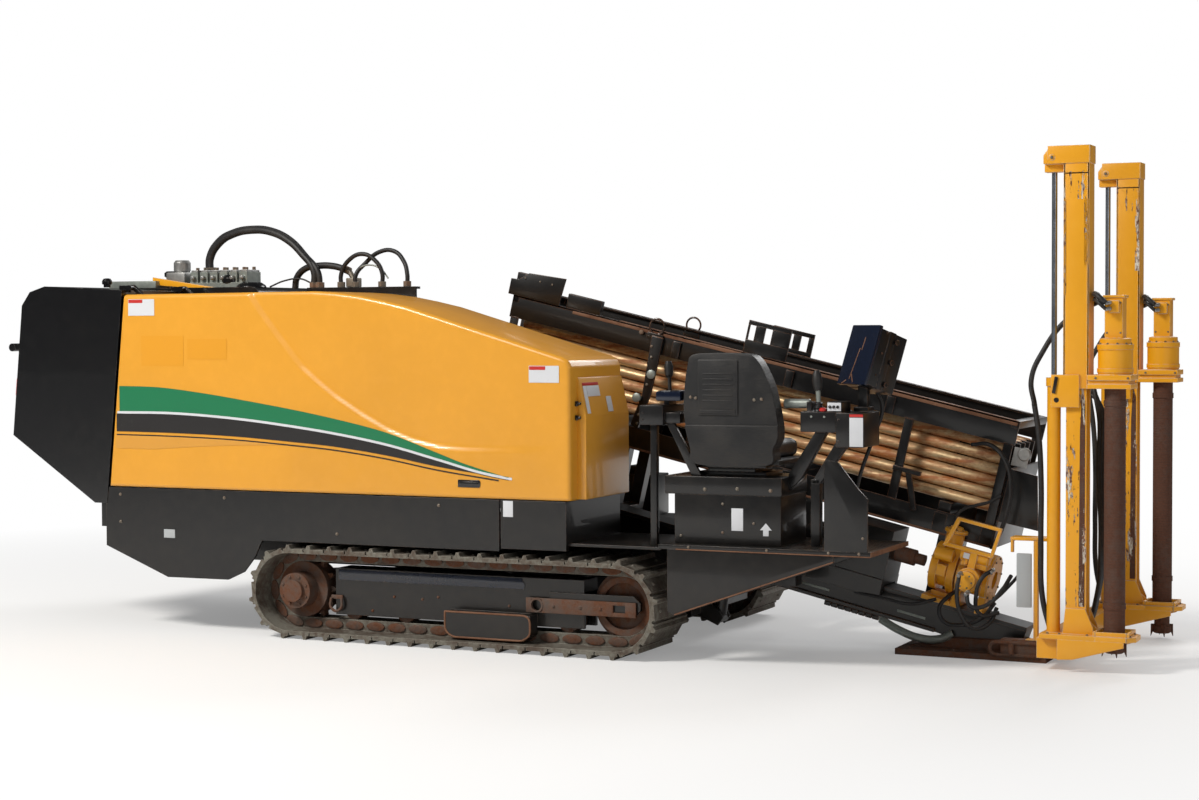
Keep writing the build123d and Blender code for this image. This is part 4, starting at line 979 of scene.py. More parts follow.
def side_frame(side, out):
    """Strip, plates, bolts and guard rim on one side frame, and its drive's bolts."""
    frame_out = out * FRAME_FACE
    face = sorted((frame_out, frame_out + out * 0.003))
    strip = Shape()
    strip.prism([(-1.060, 0.330), (0.110, 0.330), (0.118, 0.352), (0.100, 0.390),
                 (-1.060, 0.390)], *face, "Y", 0.001)
    # The strip's bluish black is a painted reflection of the sky
    strip.done(f"frame_strip_{side}", "chassis", "sky_black")
    fitting = Shape()
    face = sorted((out * 0.901, out * 0.916))
    low, high = 0.212, 0.292
    for x0, x1, z0, z1 in ((0.135, 0.168, low, high), (0.230, 0.652, low, high),
                           (0.722, 0.785, low, high), (0.166, 0.232, low, 0.222),
                           (0.166, 0.232, 0.284, high), (0.650, 0.724, low, 0.235),
                           (0.650, 0.724, 0.273, high)):
        fitting.block(x0, x1, *face, z0, z1, 0.004)
    fitting.ring((0.199, face[0] - 0.004, 0.253), (0.199, face[1] + 0.004, 0.253), 0.040, 0.030)
    fitting.bolts(((0.30, 0.252), (0.46, 0.252), (0.58, 0.252)), frame_out + out * 0.031, 0.011, out)
    fitting.block(-1.105, -1.030, *sorted((frame_out, frame_out + out * 0.012)), 0.222, 0.244, 0.004)
    fitting.tube([(-1.100, frame_out + out * 0.018, 0.228), (-1.108, frame_out + out * 0.022, 0.176),
                  (-1.067, frame_out + out * 0.024, 0.148), (-1.026, frame_out + out * 0.022, 0.176),
                  (-1.034, frame_out + out * 0.018, 0.228)], 0.008)
    fitting.bolts(((-0.84, 0.165), (-0.70, 0.250), (-0.52, 0.245), (-0.42, 0.262), (0.02, 0.235)),
                  frame_out, 0.010, out)
    fitting.done(f"frame_fittings_{side}", "chassis", "rusty_steel")
    guard = Shape()
    edge = out * 0.975
    guard.tube([(-0.330, edge, 0.200), (-0.330, edge, 0.095), (-0.285, edge, 0.062),
                (0.145, edge, 0.062), (0.190, edge, 0.095), (0.190, edge, 0.200),
                (-0.330, edge, 0.200)], 0.006, 8)
    guard.done(f"guard_rim_{side}", "chassis", "rust_edge")
    hub = Shape()
    hub.bolts([(REAR_X + x, WHEEL_Z + z) for x, z in around(8, 0.081, math.pi / 8)],
              out * (TRACK_Y + 0.1625), 0.010, out)
    hub.done(f"drive_bolts_{side}", "chassis", "rusty_steel")


class DRILL_OT_undercarriage(bpy.types.Operator):
    """Add link plates, pins and shoe bolts to the tracks, and fittings to the side frames"""
    bl_idname = "drill.undercarriage"
    bl_label = "Undercarriage"

    def execute(self, context):
        for side, out in (("near", -1), ("far", 1)):
            track_chain(side, out)
            side_frame(side, out)
        return {"FINISHED"}


class DRILL_OT_skirts(bpy.types.Operator):
    """Put bolts and blank stickers on the skirts, the seat's box and the platform"""
    bl_idname = "drill.skirts"
    bl_label = "Skirts"

    def execute(self, context):
        white, grey, bolts, rust = Shape(), Shape(), Shape(), Shape()
        grey.block(-2.172, -2.095, -1.0015, -0.9995, 0.537, 0.586, 0.0004)
        white.block(0.045, 0.104, -1.0015, -0.9995, 0.732, 0.818, 0.0004)
        white.block(1.319, 1.383, -0.8975, -0.8955, 0.694, 0.810, 0.0004)
        white.prism([(1.493, 0.672), (1.523, 0.672), (1.523, 0.702), (1.540, 0.702), (1.508, 0.738),
                     (1.476, 0.702), (1.493, 0.702)], -0.8975, -0.8955, "Y", 0.0003)
        bolts.bolts(((-0.999, 0.600), (-2.48, 0.62), (-2.48, 0.78), (-1.75, 0.78), (-0.35, 0.78)),
                    -1.0, 0.011)
        bolts.bolts(((1.172, 0.904), (1.353, 0.911), (1.535, 0.906)), -0.900, 0.012)
        bolts.bolts(((1.270, 0.831), (1.270, 0.682), (1.441, 0.734), (1.036, 0.658)), -0.896, 0.009)
        bolts.bolts(((1.089, 1.382), (1.117, 1.378), (1.442, 1.371), (1.482, 1.375)), -0.888, 0.010)
        bolts.bolts(((1.12, 0.610), (1.55, 0.610), (1.88, 0.610), (2.04, 0.610), (2.06, 0.69)),
                    -1.0, 0.009)
        rust.block(1.05, 2.100, -1.004, -0.998, 0.594, 0.600, 0.001)
        rust.block(2.0995, 2.104, -1.000, -0.360, 0.596, 0.621, 0.001)
        rust.prism([(1.040, 0.251), (1.905, 0.561), (1.905, 0.568), (1.040, 0.259)], -1.003, -0.983,
                   "Y", 0.0008)
        white.done("stickers_white", "chassis", "white_film")
        grey.done("sticker_grey", "chassis", "grey_film")
        bolts.done("station_bolts", "chassis", "bolt_zinc")
        rust.done("platform_edges", "chassis", "rust_edge")
        tread = Shape()
        for i in range(26):
            for k in range(13):
                x, y = 1.62 + i * 0.018, -0.960 + k * 0.045 + (0.022 if i % 2 else 0.0)
                turn = 45 if (i + k) % 2 else -45
                tread.block(x - 0.009, x + 0.009, y - 0.0025, y + 0.0025, 0.6195, 0.6212, 0.0006,
                            ("Z", turn))
        tread.done("tread", "chassis", "black_paint")
        return {"FINISHED"}


BACK_OUTLINE = [(1.099, 1.602), (1.220, 1.612), (1.403, 1.606), (1.457, 1.577), (1.498, 1.509),
                (1.538, 1.407), (1.574, 1.204), (1.547, 1.119), (1.511, 1.033), (1.126, 1.033),
                (1.089, 1.118), (1.053, 1.265), (1.050, 1.394), (1.071, 1.550)]
BACK_INNER = [(1.118, 1.578), (1.222, 1.588), (1.394, 1.583), (1.437, 1.560), (1.475, 1.500),
              (1.514, 1.400), (1.549, 1.206), (1.526, 1.132), (1.498, 1.062), (1.136, 1.062),
              (1.112, 1.126), (1.077, 1.268), (1.074, 1.392), (1.093, 1.540)]
SCREEN = (Matrix.Translation((1.956, -0.5, 1.567)) @ Matrix.Rotation(math.radians(-33), 4, "Z")
          @ Matrix.Rotation(math.radians(-19.5), 4, "X"))


class DRILL_OT_furniture(bpy.types.Operator):
    """Shape the platform, the seat's box and shell, the consoles and the display"""
    bl_idname = "drill.furniture"
    bl_label = "Furniture"

    def execute(self, context):
        floor = Shape()
        floor.block(0.950, 2.100, -1.000, -0.360, 0.595, 0.620, 0.002)
        for y in (-1.000, -0.440):
            floor.prism([(1.000, 0.5965), (1.000, 0.270), (1.040, 0.250), (1.905, 0.560),
                         (1.905, 0.5965)], y, y + 0.015, "Y", 0.001)
        floor.prism([(1.856, 0.618), (2.084, 0.618), (2.084, 0.887), (2.037, 0.935), (1.933, 1.065),
                     (1.872, 1.080), (1.856, 1.060)], -1.000, -0.985, "Y", 0.003)
        in_place_of(floor, "operator_platform", "chassis")
        chest = Shape()
        chest.block(0.999, 1.590, -0.896, -0.506, 0.620, 0.878, 0.006)
        chest.block(0.945, 1.595, -0.900, -0.502, 0.876, 0.972, 0.008)
        for x0, x1, z0, z1 in ((1.100, 1.480, 0.972, 0.994), (1.160, 1.420, 0.994, 1.014),
                               (1.100, 1.480, 1.014, 1.033)):
            chest.block(x0, x1, -0.820, -0.560, z0, z1, 0.003)
        in_place_of(chest, "seat_box", "chassis")
        shell = Shape()
        outer, inner = smooth_loop(BACK_OUTLINE), smooth_loop(BACK_INNER)
        shell.prism(outer, -0.888, -0.863, "Y", 0.004)
        shell.prism([p for p in outer if p[1] < 1.262], -0.900, -0.884, "Y", 0.004)
        shell.block(1.132, 1.353, -0.896, -0.884, 1.290, 1.576, 0.010)
        frame_between(shell, outer, inner, -0.870, -0.790)
        shell.block(1.040, 1.560, -0.840, -0.380, 1.033, 1.0595, 0.008)
        in_place_of(shell, "seat_shell", "chassis")

        left = Shape()
        left.block(0.851, 0.887, -0.870, -0.834, 0.600, 1.236, 0.003)
        left.block(0.799, 0.937, -0.900, -0.520, 1.233, 1.338, 0.008)
        left.block(0.937, 1.026, -0.880, -0.600, 1.245, 1.300, 0.004)
        left.block(0.900, 0.930, -0.800, -0.700, 1.336, 1.362, 0.002)
        left.prism([(0.941, 1.248), (0.985, 1.248), (1.140, 0.972), (1.085, 0.972)], -0.870, -0.845,
                   "Y", 0.003)
        left.bolts(((0.820, 1.262), (0.820, 1.300)), -0.900, 0.006)
        in_place_of(left, "left_console", "chassis")
        right = Shape()
        right.block(1.659, 1.852, -0.800, -0.520, 1.206, 1.312, 0.008)
        right.block(1.850, 1.997, -0.800, -0.520, 1.130, 1.308, 0.008)
        right.block(1.800, 1.880, -0.790, -0.640, 1.306, 1.363, 0.006)
        right.prism([(1.738, 1.208), (1.800, 1.208), (1.660, 0.962), (1.592, 0.900), (1.592, 0.985)],
                    -0.790, -0.740, "Y", 0.004)
        right.prism([(1.712, 0.940), (1.762, 0.940), (1.905, 1.134), (1.852, 1.162)], -0.790, -0.740,
                    "Y", 0.004)
        right.block(1.712, 1.762, -0.790, -0.740, 0.620, 0.962, 0.004)
        right.rod((1.580, -0.755, 1.350), (1.700, -0.755, 1.350), 0.022, 24, 0.004)
        right.block(1.690, 1.716, -0.785, -0.725, 1.306, 1.362, 0.003)
        right.rod((1.745, -0.755, 1.306), (1.742, -0.755, 1.450), 0.010, 16)
        right.block(1.880, 1.960, -0.600, -0.500, 1.280, 1.331, 0.004)
        right.bolts(((1.865, 1.160), (1.865, 1.270)), -0.800, 0.006)
        in_place_of(right, "right_console", "chassis")
        screen = Shape(SCREEN)
        screen.block(-0.1025, 0.1025, -0.099, 0.099, -0.1525, 0.1525, 0.006)
        screen.block(-0.1045, 0.1045, -0.020, 0.020, -0.1545, 0.1545, 0.002)
        screen.place = WORLD
        screen.block(1.895, 1.945, -0.570, -0.520, 1.328, 1.460, 0.004)
        in_place_of(screen, "display_box", "chassis")
        return {"FINISHED"}


class DRILL_OT_station(bpy.types.Operator):
    """Fit the controls, the pads and the display of the operator's station"""
    bl_idname = "drill.station"
    bl_label = "Station"

    def execute(self, context):
        grips, metal, red, white = Shape(), Shape(), Shape(), Shape()
        grips.lathe([(0, 0.017), (0.018, 0.024), (0.055, 0.027), (0.085, 0.022), (0.105, 0.012)],
                    (1.7405, -0.755, 1.418), (1.734, -0.755, 1.52), 20)
        grips.lathe([(0, 0.026), (0.012, 0.020), (0.022, 0.026), (0.032, 0.018), (0.044, 0.022),
                     (0.05, 0.014)], (1.745, -0.755, 1.309), (1.745, -0.755, 1.36), 24)
        grips.lathe([(0, 0.026), (0.012, 0.020), (0.022, 0.026), (0.04, 0.014)],
                    (0.860, -0.62, 1.338), (0.860, -0.62, 1.39), 20)
        grips.lathe([(0, 0.010), (0.10, 0.010), (0.115, 0.022), (0.16, 0.025), (0.19, 0.016)],
                    (0.860, -0.62, 1.375), (0.850, -0.62, 1.56), 20)
        grips.done("control_grips", "chassis", "seat_plastic")
        metal.rod((1.745, -0.755, 1.352), (1.7405, -0.755, 1.43), 0.0125, 20)
        metal.rod((1.560, -0.755, 1.350), (1.702, -0.755, 1.350), 0.0245, 28, 0.004)
        for x in (1.72, 1.79):
            metal.rod((x, -0.80, 1.285), (x, -0.803, 1.285), 0.006, 12)
        metal.done("control_metal", "chassis", "grey_steel")
        red.lathe([(0, 0.016), (0.004, 0.020), (0.014, 0.020), (0.020, 0.012)],
                  (1.775, -0.775, 1.311), (1.775, -0.775, 1.34), 24)
        red.block(1.925, 1.997, -0.8025, -0.800, 1.286, 1.300, 0.0004)
        red.done("control_red", "chassis", "red_film")
        white.block(1.804, 1.876, -0.7915, -0.789, 1.316, 1.358, 0.0004)
        white.block(1.925, 1.997, -0.8025, -0.800, 1.135, 1.283, 0.0004)
        white.done("control_plates", "chassis", "white_film")
        knobs = Shape()
        for k in range(3):
            x = 1.818 + k * 0.021
            knobs.lathe([(0, 0.008), (0.006, 0.008), (0.009, 0.005)], (x, -0.7915, 1.336),
                        (x, -0.82, 1.336), 14)
        for k in range(4):
            knobs.rod((1.68 + k * 0.035, -0.70, 1.311), (1.68 + k * 0.035, -0.70, 1.33), 0.006, 12)
        knobs.block(0.905, 1.010, -0.870, -0.640, 1.406, 1.414, 0.004)
        knobs.done("control_knobs", "chassis", "gloss_black")
        pad = Shape()
        pad.block(0.886, 1.029, -0.883, -0.617, 1.360, 1.412, 0.012)
        # The arm pad's dark blue is a painted reflection of the sky
        pad.done("arm_pad", "chassis", "screen_blue")
        lid = Shape(SCREEN)
        lid.block(-0.1125, 0.1125, -0.105, -0.0815, -0.1625, 0.1625, 0.006)
        # The lid's dark blue is a painted reflection of the sky
        lid.done("display_lid", "chassis", "screen_blue")
        wear = Shape(SCREEN)
        for x, z, length, turn in ((-0.01, -0.05, 0.17, 8), (0.0, -0.13, 0.05, -30),
                                   (0.02, 0.06, 0.07, 4), (-0.06, -0.15, 0.04, 60)):
            wear.block(x - 0.0035, x + 0.0035, -0.1058, -0.1045, z - length / 2, z + length / 2,
                       0.0004, ("Y", turn))
        wear.done("display_wear", "chassis", "rust_edge")
        fittings = Shape(SCREEN)
        for z in (-0.12, 0.0, 0.11):
            fittings.rod((0.1025, 0.03, z), (0.118, 0.03, z), 0.014, 16)
            fittings.bolt((0.1025, -0.04, z + 0.03), (1, 0, 0), 0.007)
        fittings.done("display_fittings", "chassis", "rack_paint")
        hose("display_cable", [(1.955, -0.480, 1.425), (1.990, -0.455, 1.330),
                               (1.960, -0.500, 1.180), (1.900, -0.560, 0.960),
                               (1.860, -0.580, 0.700), (1.850, -0.590, 0.622)], 0.010, "chassis")
        panel = Shape()
        panel.block(1.145, 1.340, -0.9005, -0.8985, 1.300, 1.318, 0.0008)
        for k in range(6):
            panel.block(1.160, 1.325, -0.898, -0.8955, 1.36 + k * 0.028, 1.368 + k * 0.028, 0.001)
        panel.done("seat_back_ribs", "chassis", "seat_plastic")
        return {"FINISHED"}


BOX_REAR, BOX_FRONT, BOX_NEAR, BOX_FAR = -0.860, 2.240, 0.100, 0.660
RAIL_LIP, RAIL_WEB, ROD_BED = 0.040, 0.012, 1.26985


class DRILL_OT_rod_box(bpy.types.Operator):
    """Build the rod box from its rails, cross members, dividers and windowed brackets"""
    bl_idname = "drill.rod_box"
    bl_label = "Rod box"

    def execute(self, context):
        box = Shape(RACK)
        near, far = BOX_NEAR - RAIL_LIP, BOX_FAR + RAIL_LIP
        for y0, y1, web0, web1 in ((near, BOX_NEAR, near, near + RAIL_WEB),
                                   (BOX_FAR, far, far - RAIL_WEB, far)):
            # Upper and lower rails of one side, and the posts between
            box.block(BOX_REAR, BOX_FRONT, web0, web1, 1.662, 1.795, 0.002)
            box.block(BOX_REAR, BOX_FRONT, y0, y1, 1.783, 1.795, 0.002)
            box.block(BOX_REAR, BOX_FRONT, web0, web1, 1.095, 1.220, 0.002)
            box.block(BOX_REAR, BOX_FRONT, y0, y1, 1.095, 1.107, 0.002)
            for x in (BOX_REAR + 0.010, 0.400, BOX_FRONT - 0.620, BOX_FRONT - 0.060):
                box.block(x, x + 0.050, web0, web1, 1.215, 1.667, 0.001)
        # Cross members with the dividers of the rod columns
        for x in (-0.820, -0.080, 1.000, 1.900, BOX_REAR, BOX_FRONT - 0.070):
            box.block(x, x + 0.070, near, far, 1.095, ROD_BED - 0.060, 0.002)
            box.block(x, x + 0.070, BOX_NEAR, BOX_FAR, ROD_BED - 0.060, ROD_BED, 0.002)
            for gap in range(1, 5):
                y = 0.170 + (gap - 0.5) * 0.105
                box.block(x + 0.005, x + 0.065, y - 0.008, y + 0.008, ROD_BED, 1.662, 0.002)
        for x in (BOX_REAR, BOX_FRONT - 0.040):
            box.block(x, x + 0.040, near, far, 1.755, 1.795, 0.002)
        # Front end plate and its side
        box.block(BOX_FRONT, BOX_FRONT + 0.012, BOX_NEAR - 0.060, far, 1.095, 1.540, 0.002)
        box.prism([(BOX_FRONT, 1.250), (2.470, 1.256), (2.400, 1.540), (BOX_FRONT, 1.540)],
                  BOX_NEAR - 0.060, BOX_NEAR - 0.046, "Y", 0.002)
        # Plates and windowed brackets on top
        box.block(BOX_REAR, -0.620, near, BOX_NEAR, 1.795, 1.930, 0.003)
        box.block(-0.510, -0.290, near, BOX_NEAR, 1.795, 1.878, 0.003)
        for x0, holes, x1, y, low, high, top in (
            (0.620, ((0.631, 0.668), (0.726, 0.769)), 0.880, near, 1.870, 1.955, 1.980),
            (0.545, ((0.630, 0.678), (0.725, 0.773)), 0.805, far - RAIL_WEB, 1.820, 1.907, 1.932),
        ):
            box.block(x0, x1, y, y + RAIL_WEB, 1.795, low, 0.001)
            box.block(x0, x1, y, y + RAIL_WEB, high, top, 0.001)
            edges = [x0] + [x for hole in holes for x in hole] + [x1]
            for left, right in zip(edges[0::2], edges[1::2]):
                box.block(left, right, y, y + RAIL_WEB, low - 0.001, high + 0.001, 0.001)
        in_place_of(box, "rod_box", "rack")
        return {"FINISHED"}


class DRILL_OT_rack(bpy.types.Operator):
    """Lay round rods in the rack and fit its straps, rings and worn edges"""
    bl_idname = "drill.rack"
    bl_label = "Rack"

    def execute(self, context):
        rods = Shape(RACK)
        for column in range(5):
            for row in range(6):
                y, z = 0.170 + column * 0.105, 1.303 + row * 0.066
                rods.lathe([(0, 0.026), (0.004, 0.0315), (0.128, 0.0325), (0.150, 0.030),
                            (2.850, 0.030), (2.872, 0.0325), (2.996, 0.0315), (3.000, 0.026)],
                           (-0.800, y, z), (2.200, y, z), 24)
        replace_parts(rods.done("round_rods", "rack", "rod_steel"), "drill_rods")
        rust, black, metal = Shape(RACK), Shape(RACK), Shape(RACK)
        rust.block(-0.46, 2.23, 0.0580, 0.0605, 1.768, 1.786, 0.0006)
        rust.block(-0.16, 2.23, 0.060, 0.098, 1.7945, 1.7965, 0.0006)
        rust.block(-0.30, 2.23, 0.0585, 0.0605, 1.095, 1.107, 0.0006)
        rust.block(-0.736, -0.560, 0.0585, 0.0605, 1.856, 1.896, 0.0006)
        rust.block(0.36, 0.62, 0.0585, 0.0605, 1.768, 1.79, 0.0006)
        rust.done("rack_rust", "rack", "rust_edge")
        black.prism([(0.050, 1.235), (0.098, 1.215), (0.134, 1.430), (0.140, 1.760), (0.066, 1.760),
                     (0.082, 1.420)], 0.040, 0.058, "Y", 0.003)
        black.prism([(1.690, 1.385), (1.722, 1.393), (1.800, 1.190), (1.768, 1.182)], 0.044, 0.058,
                    "Y", 0.002)
        black.block(1.62, 1.78, 0.040, 0.060, 1.375, 1.40, 0.002)
        for x, y in ((0.083, 0.052), (0.045, 0.690)):
            circle = [(x + dx, y, 1.816 + dz) for dx, dz in around(16, 0.046)]
            black.tube(circle + circle[:1], 0.006, 8)
            black.block(x - 0.05, x + 0.05, y - 0.008, y + 0.008, 1.745, 1.776, 0.002)
        black.prism([(-0.892, 1.793), (-0.892, 1.885), (-0.840, 1.890), (-0.782, 1.939),
                     (-0.540, 1.957), (-0.555, 1.793)], 0.050, 0.060, "Y", 0.002)
        for x in (0.20, 0.90, 1.50):
            black.block(x, x + 0.05, 0.046, 0.058, 1.665, 1.760, 0.003)
        black.done("rack_straps", "rack", "rack_paint")
        metal.bolts(((0.080, 1.700), (0.092, 1.640), (0.100, 1.480), (0.088, 1.300), (0.090, 1.250)),
                    0.040, 0.010)
        metal.bolts([(x, 1.905) for x in (-0.80, -0.70, -0.62)], 0.050, 0.007)
        metal.bolts([(-0.62 + k * 0.2, 1.18) for k in range(14)], 0.088, 0.008)
        metal.lathe([(0, 0.014), (0.012, 0.014), (0.016, 0.008)], (-0.005, 0.058, 1.764),
                    (-0.005, 0.03, 1.764), 16)
        metal.done("rack_bolts", "rack", "bolt_zinc")
        rollers = Shape(RACK)
        for x, z in ((0.118, 1.545), (0.060, 1.395)):
            rollers.lathe([(0, 0.018), (0.004, 0.026), (0.020, 0.026), (0.024, 0.018)],
                          (x, 0.040, z), (x, 0.010, z), 24)
        rollers.done("rack_rollers", "rack", "grey_steel")
        for i, y in enumerate((-0.010, 0.012)):
            hose(f"rack_hose_{i}", [(2.03, y, 1.62), (2.12, y - 0.02, 1.645), (2.22, y - 0.04, 1.60),
                                    (2.30, y - 0.06, 1.46), (2.31, y - 0.07, 1.28),
                                    (2.28, y - 0.06, 1.12)], 0.010, "rack", place=RACK)
        hose("carrier_hose", [(1.78, -0.085, 0.585), (1.90, -0.105, 0.560), (2.02, -0.110, 0.552),
                              (2.12, -0.100, 0.575), (2.18, -0.080, 0.620)], 0.022, "rack",
             "grey_steel", RACK)
        lamp = Shape(RACK)
        lamp.lathe([(0, 0.030), (0.010, 0.036), (0.020, 0.036), (0.026, 0.030)],
                   (2.307, 0.054, 1.634), (2.307, -0.2, 1.634), 28)
        lamp.block(2.244, 2.330, 0.054, 0.064, 1.560, 1.660, 0.004)
        lamp.done("end_lamp", "rack", "aluminium")
        slots = Shape(RACK)
        for x in (1.855, 1.30, 0.75):
            slots.block(x, x + 0.16, -0.0765, -0.0745, 0.648, 0.662, 0.0005)
        slots.done("rail_slots", "rack", "grey_steel")
        return {"FINISHED"}


BORE_Z = 0.945
VISE_HOSES = [
    [(2.158, -0.14, 0.855), (2.14, -0.20, 0.83), (2.12, -0.25, 0.76), (2.16, -0.25, 0.705),
     (2.25, -0.24, 0.71), (2.34, -0.20, 0.77), (2.38, -0.16, 0.86)],
    [(2.20, -0.32, 0.975), (2.215, -0.34, 0.88), (2.26, -0.33, 0.78), (2.33, -0.28, 0.72),
     (2.39, -0.22, 0.76), (2.40, -0.18, 0.84)],
    [(2.26, -0.32, 0.89), (2.30, -0.34, 0.84), (2.37, -0.31, 0.86), (2.42, -0.25, 0.95),
     (2.43, -0.16, 1.02)],
    [(2.34, -0.22, 1.03), (2.31, -0.27, 0.99), (2.30, -0.28, 0.90), (2.34, -0.27, 0.80),
     (2.42, -0.20, 0.82)],
    [(2.36, -0.20, 0.86), (2.40, -0.24, 0.90), (2.45, -0.20, 0.99), (2.47, -0.12, 1.05)],
    [(2.059, -0.05, 1.16), (2.050, -0.06, 1.228), (2.085, -0.06, 1.285), (2.136, -0.055, 1.315),
     (2.200, -0.045, 1.350), (2.250, -0.02, 1.395)],
    [(2.07, -0.16, 0.79), (1.95, -0.17, 0.73), (1.80, -0.16, 0.715), (1.62, -0.14, 0.70)],
]


def vise_form():
    """Ring pair and clamps of the vise, its guard, and the bracket that stands on the skid."""
    vise = Shape(RACK)
    # Two rings on their feet, and the barrel between
    for x0, x1 in ((2.135, 2.177), (2.273, 2.315)):
        vise.ring((x0, 0, BORE_Z), (x1, 0, BORE_Z), 0.130, 0.048, 64)
        vise.ring((x0 + 0.008, 0, BORE_Z), (x1 - 0.008, 0, BORE_Z), 0.1335, 0.127, 64)
        vise.prism([(-0.120, 0.765), (0.120, 0.765), (0.092, 0.890), (-0.092, 0.890)], x0, x1,
                   "X", 0.004)
    vise.ring((2.177, 0, BORE_Z), (2.273, 0, BORE_Z), 0.104, 0.048, 64)
    # Clamp cylinders
    for side in (-1, 1):
        vise.lathe([(0, 0.050), (0.095, 0.050), (0.096, 0.060), (0.099, 0.0645), (0.128, 0.0645),
                    (0.131, 0.058), (0.132, 0.050), (0.164, 0.050), (0.167, 0.044)],
                   (2.225, side * 0.095, BORE_Z), (2.225, side * 0.3, BORE_Z), 40)
    # Foot under the wrench
    vise.block(1.975, 2.135, -0.120, 0.120, 0.765, 0.790, 0.003)
    vise.block(2.005, 2.105, -0.050, 0.050, 0.785, 0.8145, 0.003)
    # Guard
    frame_between(vise, [(2.050, 1.090), (2.096, 1.255), (2.340, 1.255), (2.325, 1.090)],
                  [(2.078, 1.110), (2.114, 1.237), (2.322, 1.237), (2.309, 1.110)],
                  -0.215, -0.195, 0.002)
    vise.block(2.205, 2.245, -0.215, -0.195, 1.000, 1.094, 0.003)
    # Upright bracket on the skid
    vise.place = WORLD
    vise.block(2.610, 2.810, -0.225, -0.125, 0.632, 0.650, 0.003)
    vise.block(2.612, 2.626, -0.225, -0.200, 0.570, 0.640, 0.002)
    vise.block(2.732, 2.756, -0.225, -0.200, 0.110, 0.640, 0.003)
    vise.block(2.732, 2.738, -0.225, -0.150, 0.110, 0.640, 0.002)
    vise.block(2.690, 2.800, -0.225, -0.165, 0.100, 0.118, 0.002)
    # Small cylinder at the side
    vise.place = RACK
    vise.lathe([(0, 0.034), (0.004, 0.038), (0.150, 0.038), (0.156, 0.030)], (2.150, -0.168, 1.070),
               (2.40, -0.168, 1.070), 28)
    vise.block(2.160, 2.300, -0.190, -0.100, 1.010, 1.040, 0.006)
    vise.block(2.180, 2.200, -0.200, -0.130, 1.020, 1.100, 0.004)
    return vise


def wrench_form():
    """Ring pair and cylinders of the turning wrench."""
    wrench = Shape(RACK)
    for x0, x1 in ((1.985, 2.027), (2.083, 2.125)):
        wrench.ring((x0, 0, BORE_Z), (x1, 0, BORE_Z), 0.130, 0.048, 64)
    wrench.ring((2.027, 0, BORE_Z), (2.083, 0, BORE_Z), 0.104, 0.048, 64)
    wrench.lathe([(0, 0.050), (0.095, 0.050), (0.096, 0.058), (0.099, 0.0625), (0.114, 0.0625),
                  (0.117, 0.056), (0.118, 0.036), (0.130, 0.034)], (2.055, 0, 1.040),
                 (2.055, 0, 1.2), 40)
    wrench.block(2.029, 2.081, -0.150, -0.090, 0.915, 0.975, 0.004)
    wrench.lathe([(0, 0.030), (0.004, 0.034), (0.100, 0.034), (0.105, 0.026)],
                 (2.000, -0.128, 1.030), (2.15, -0.128, 1.030), 28)
    return wrench


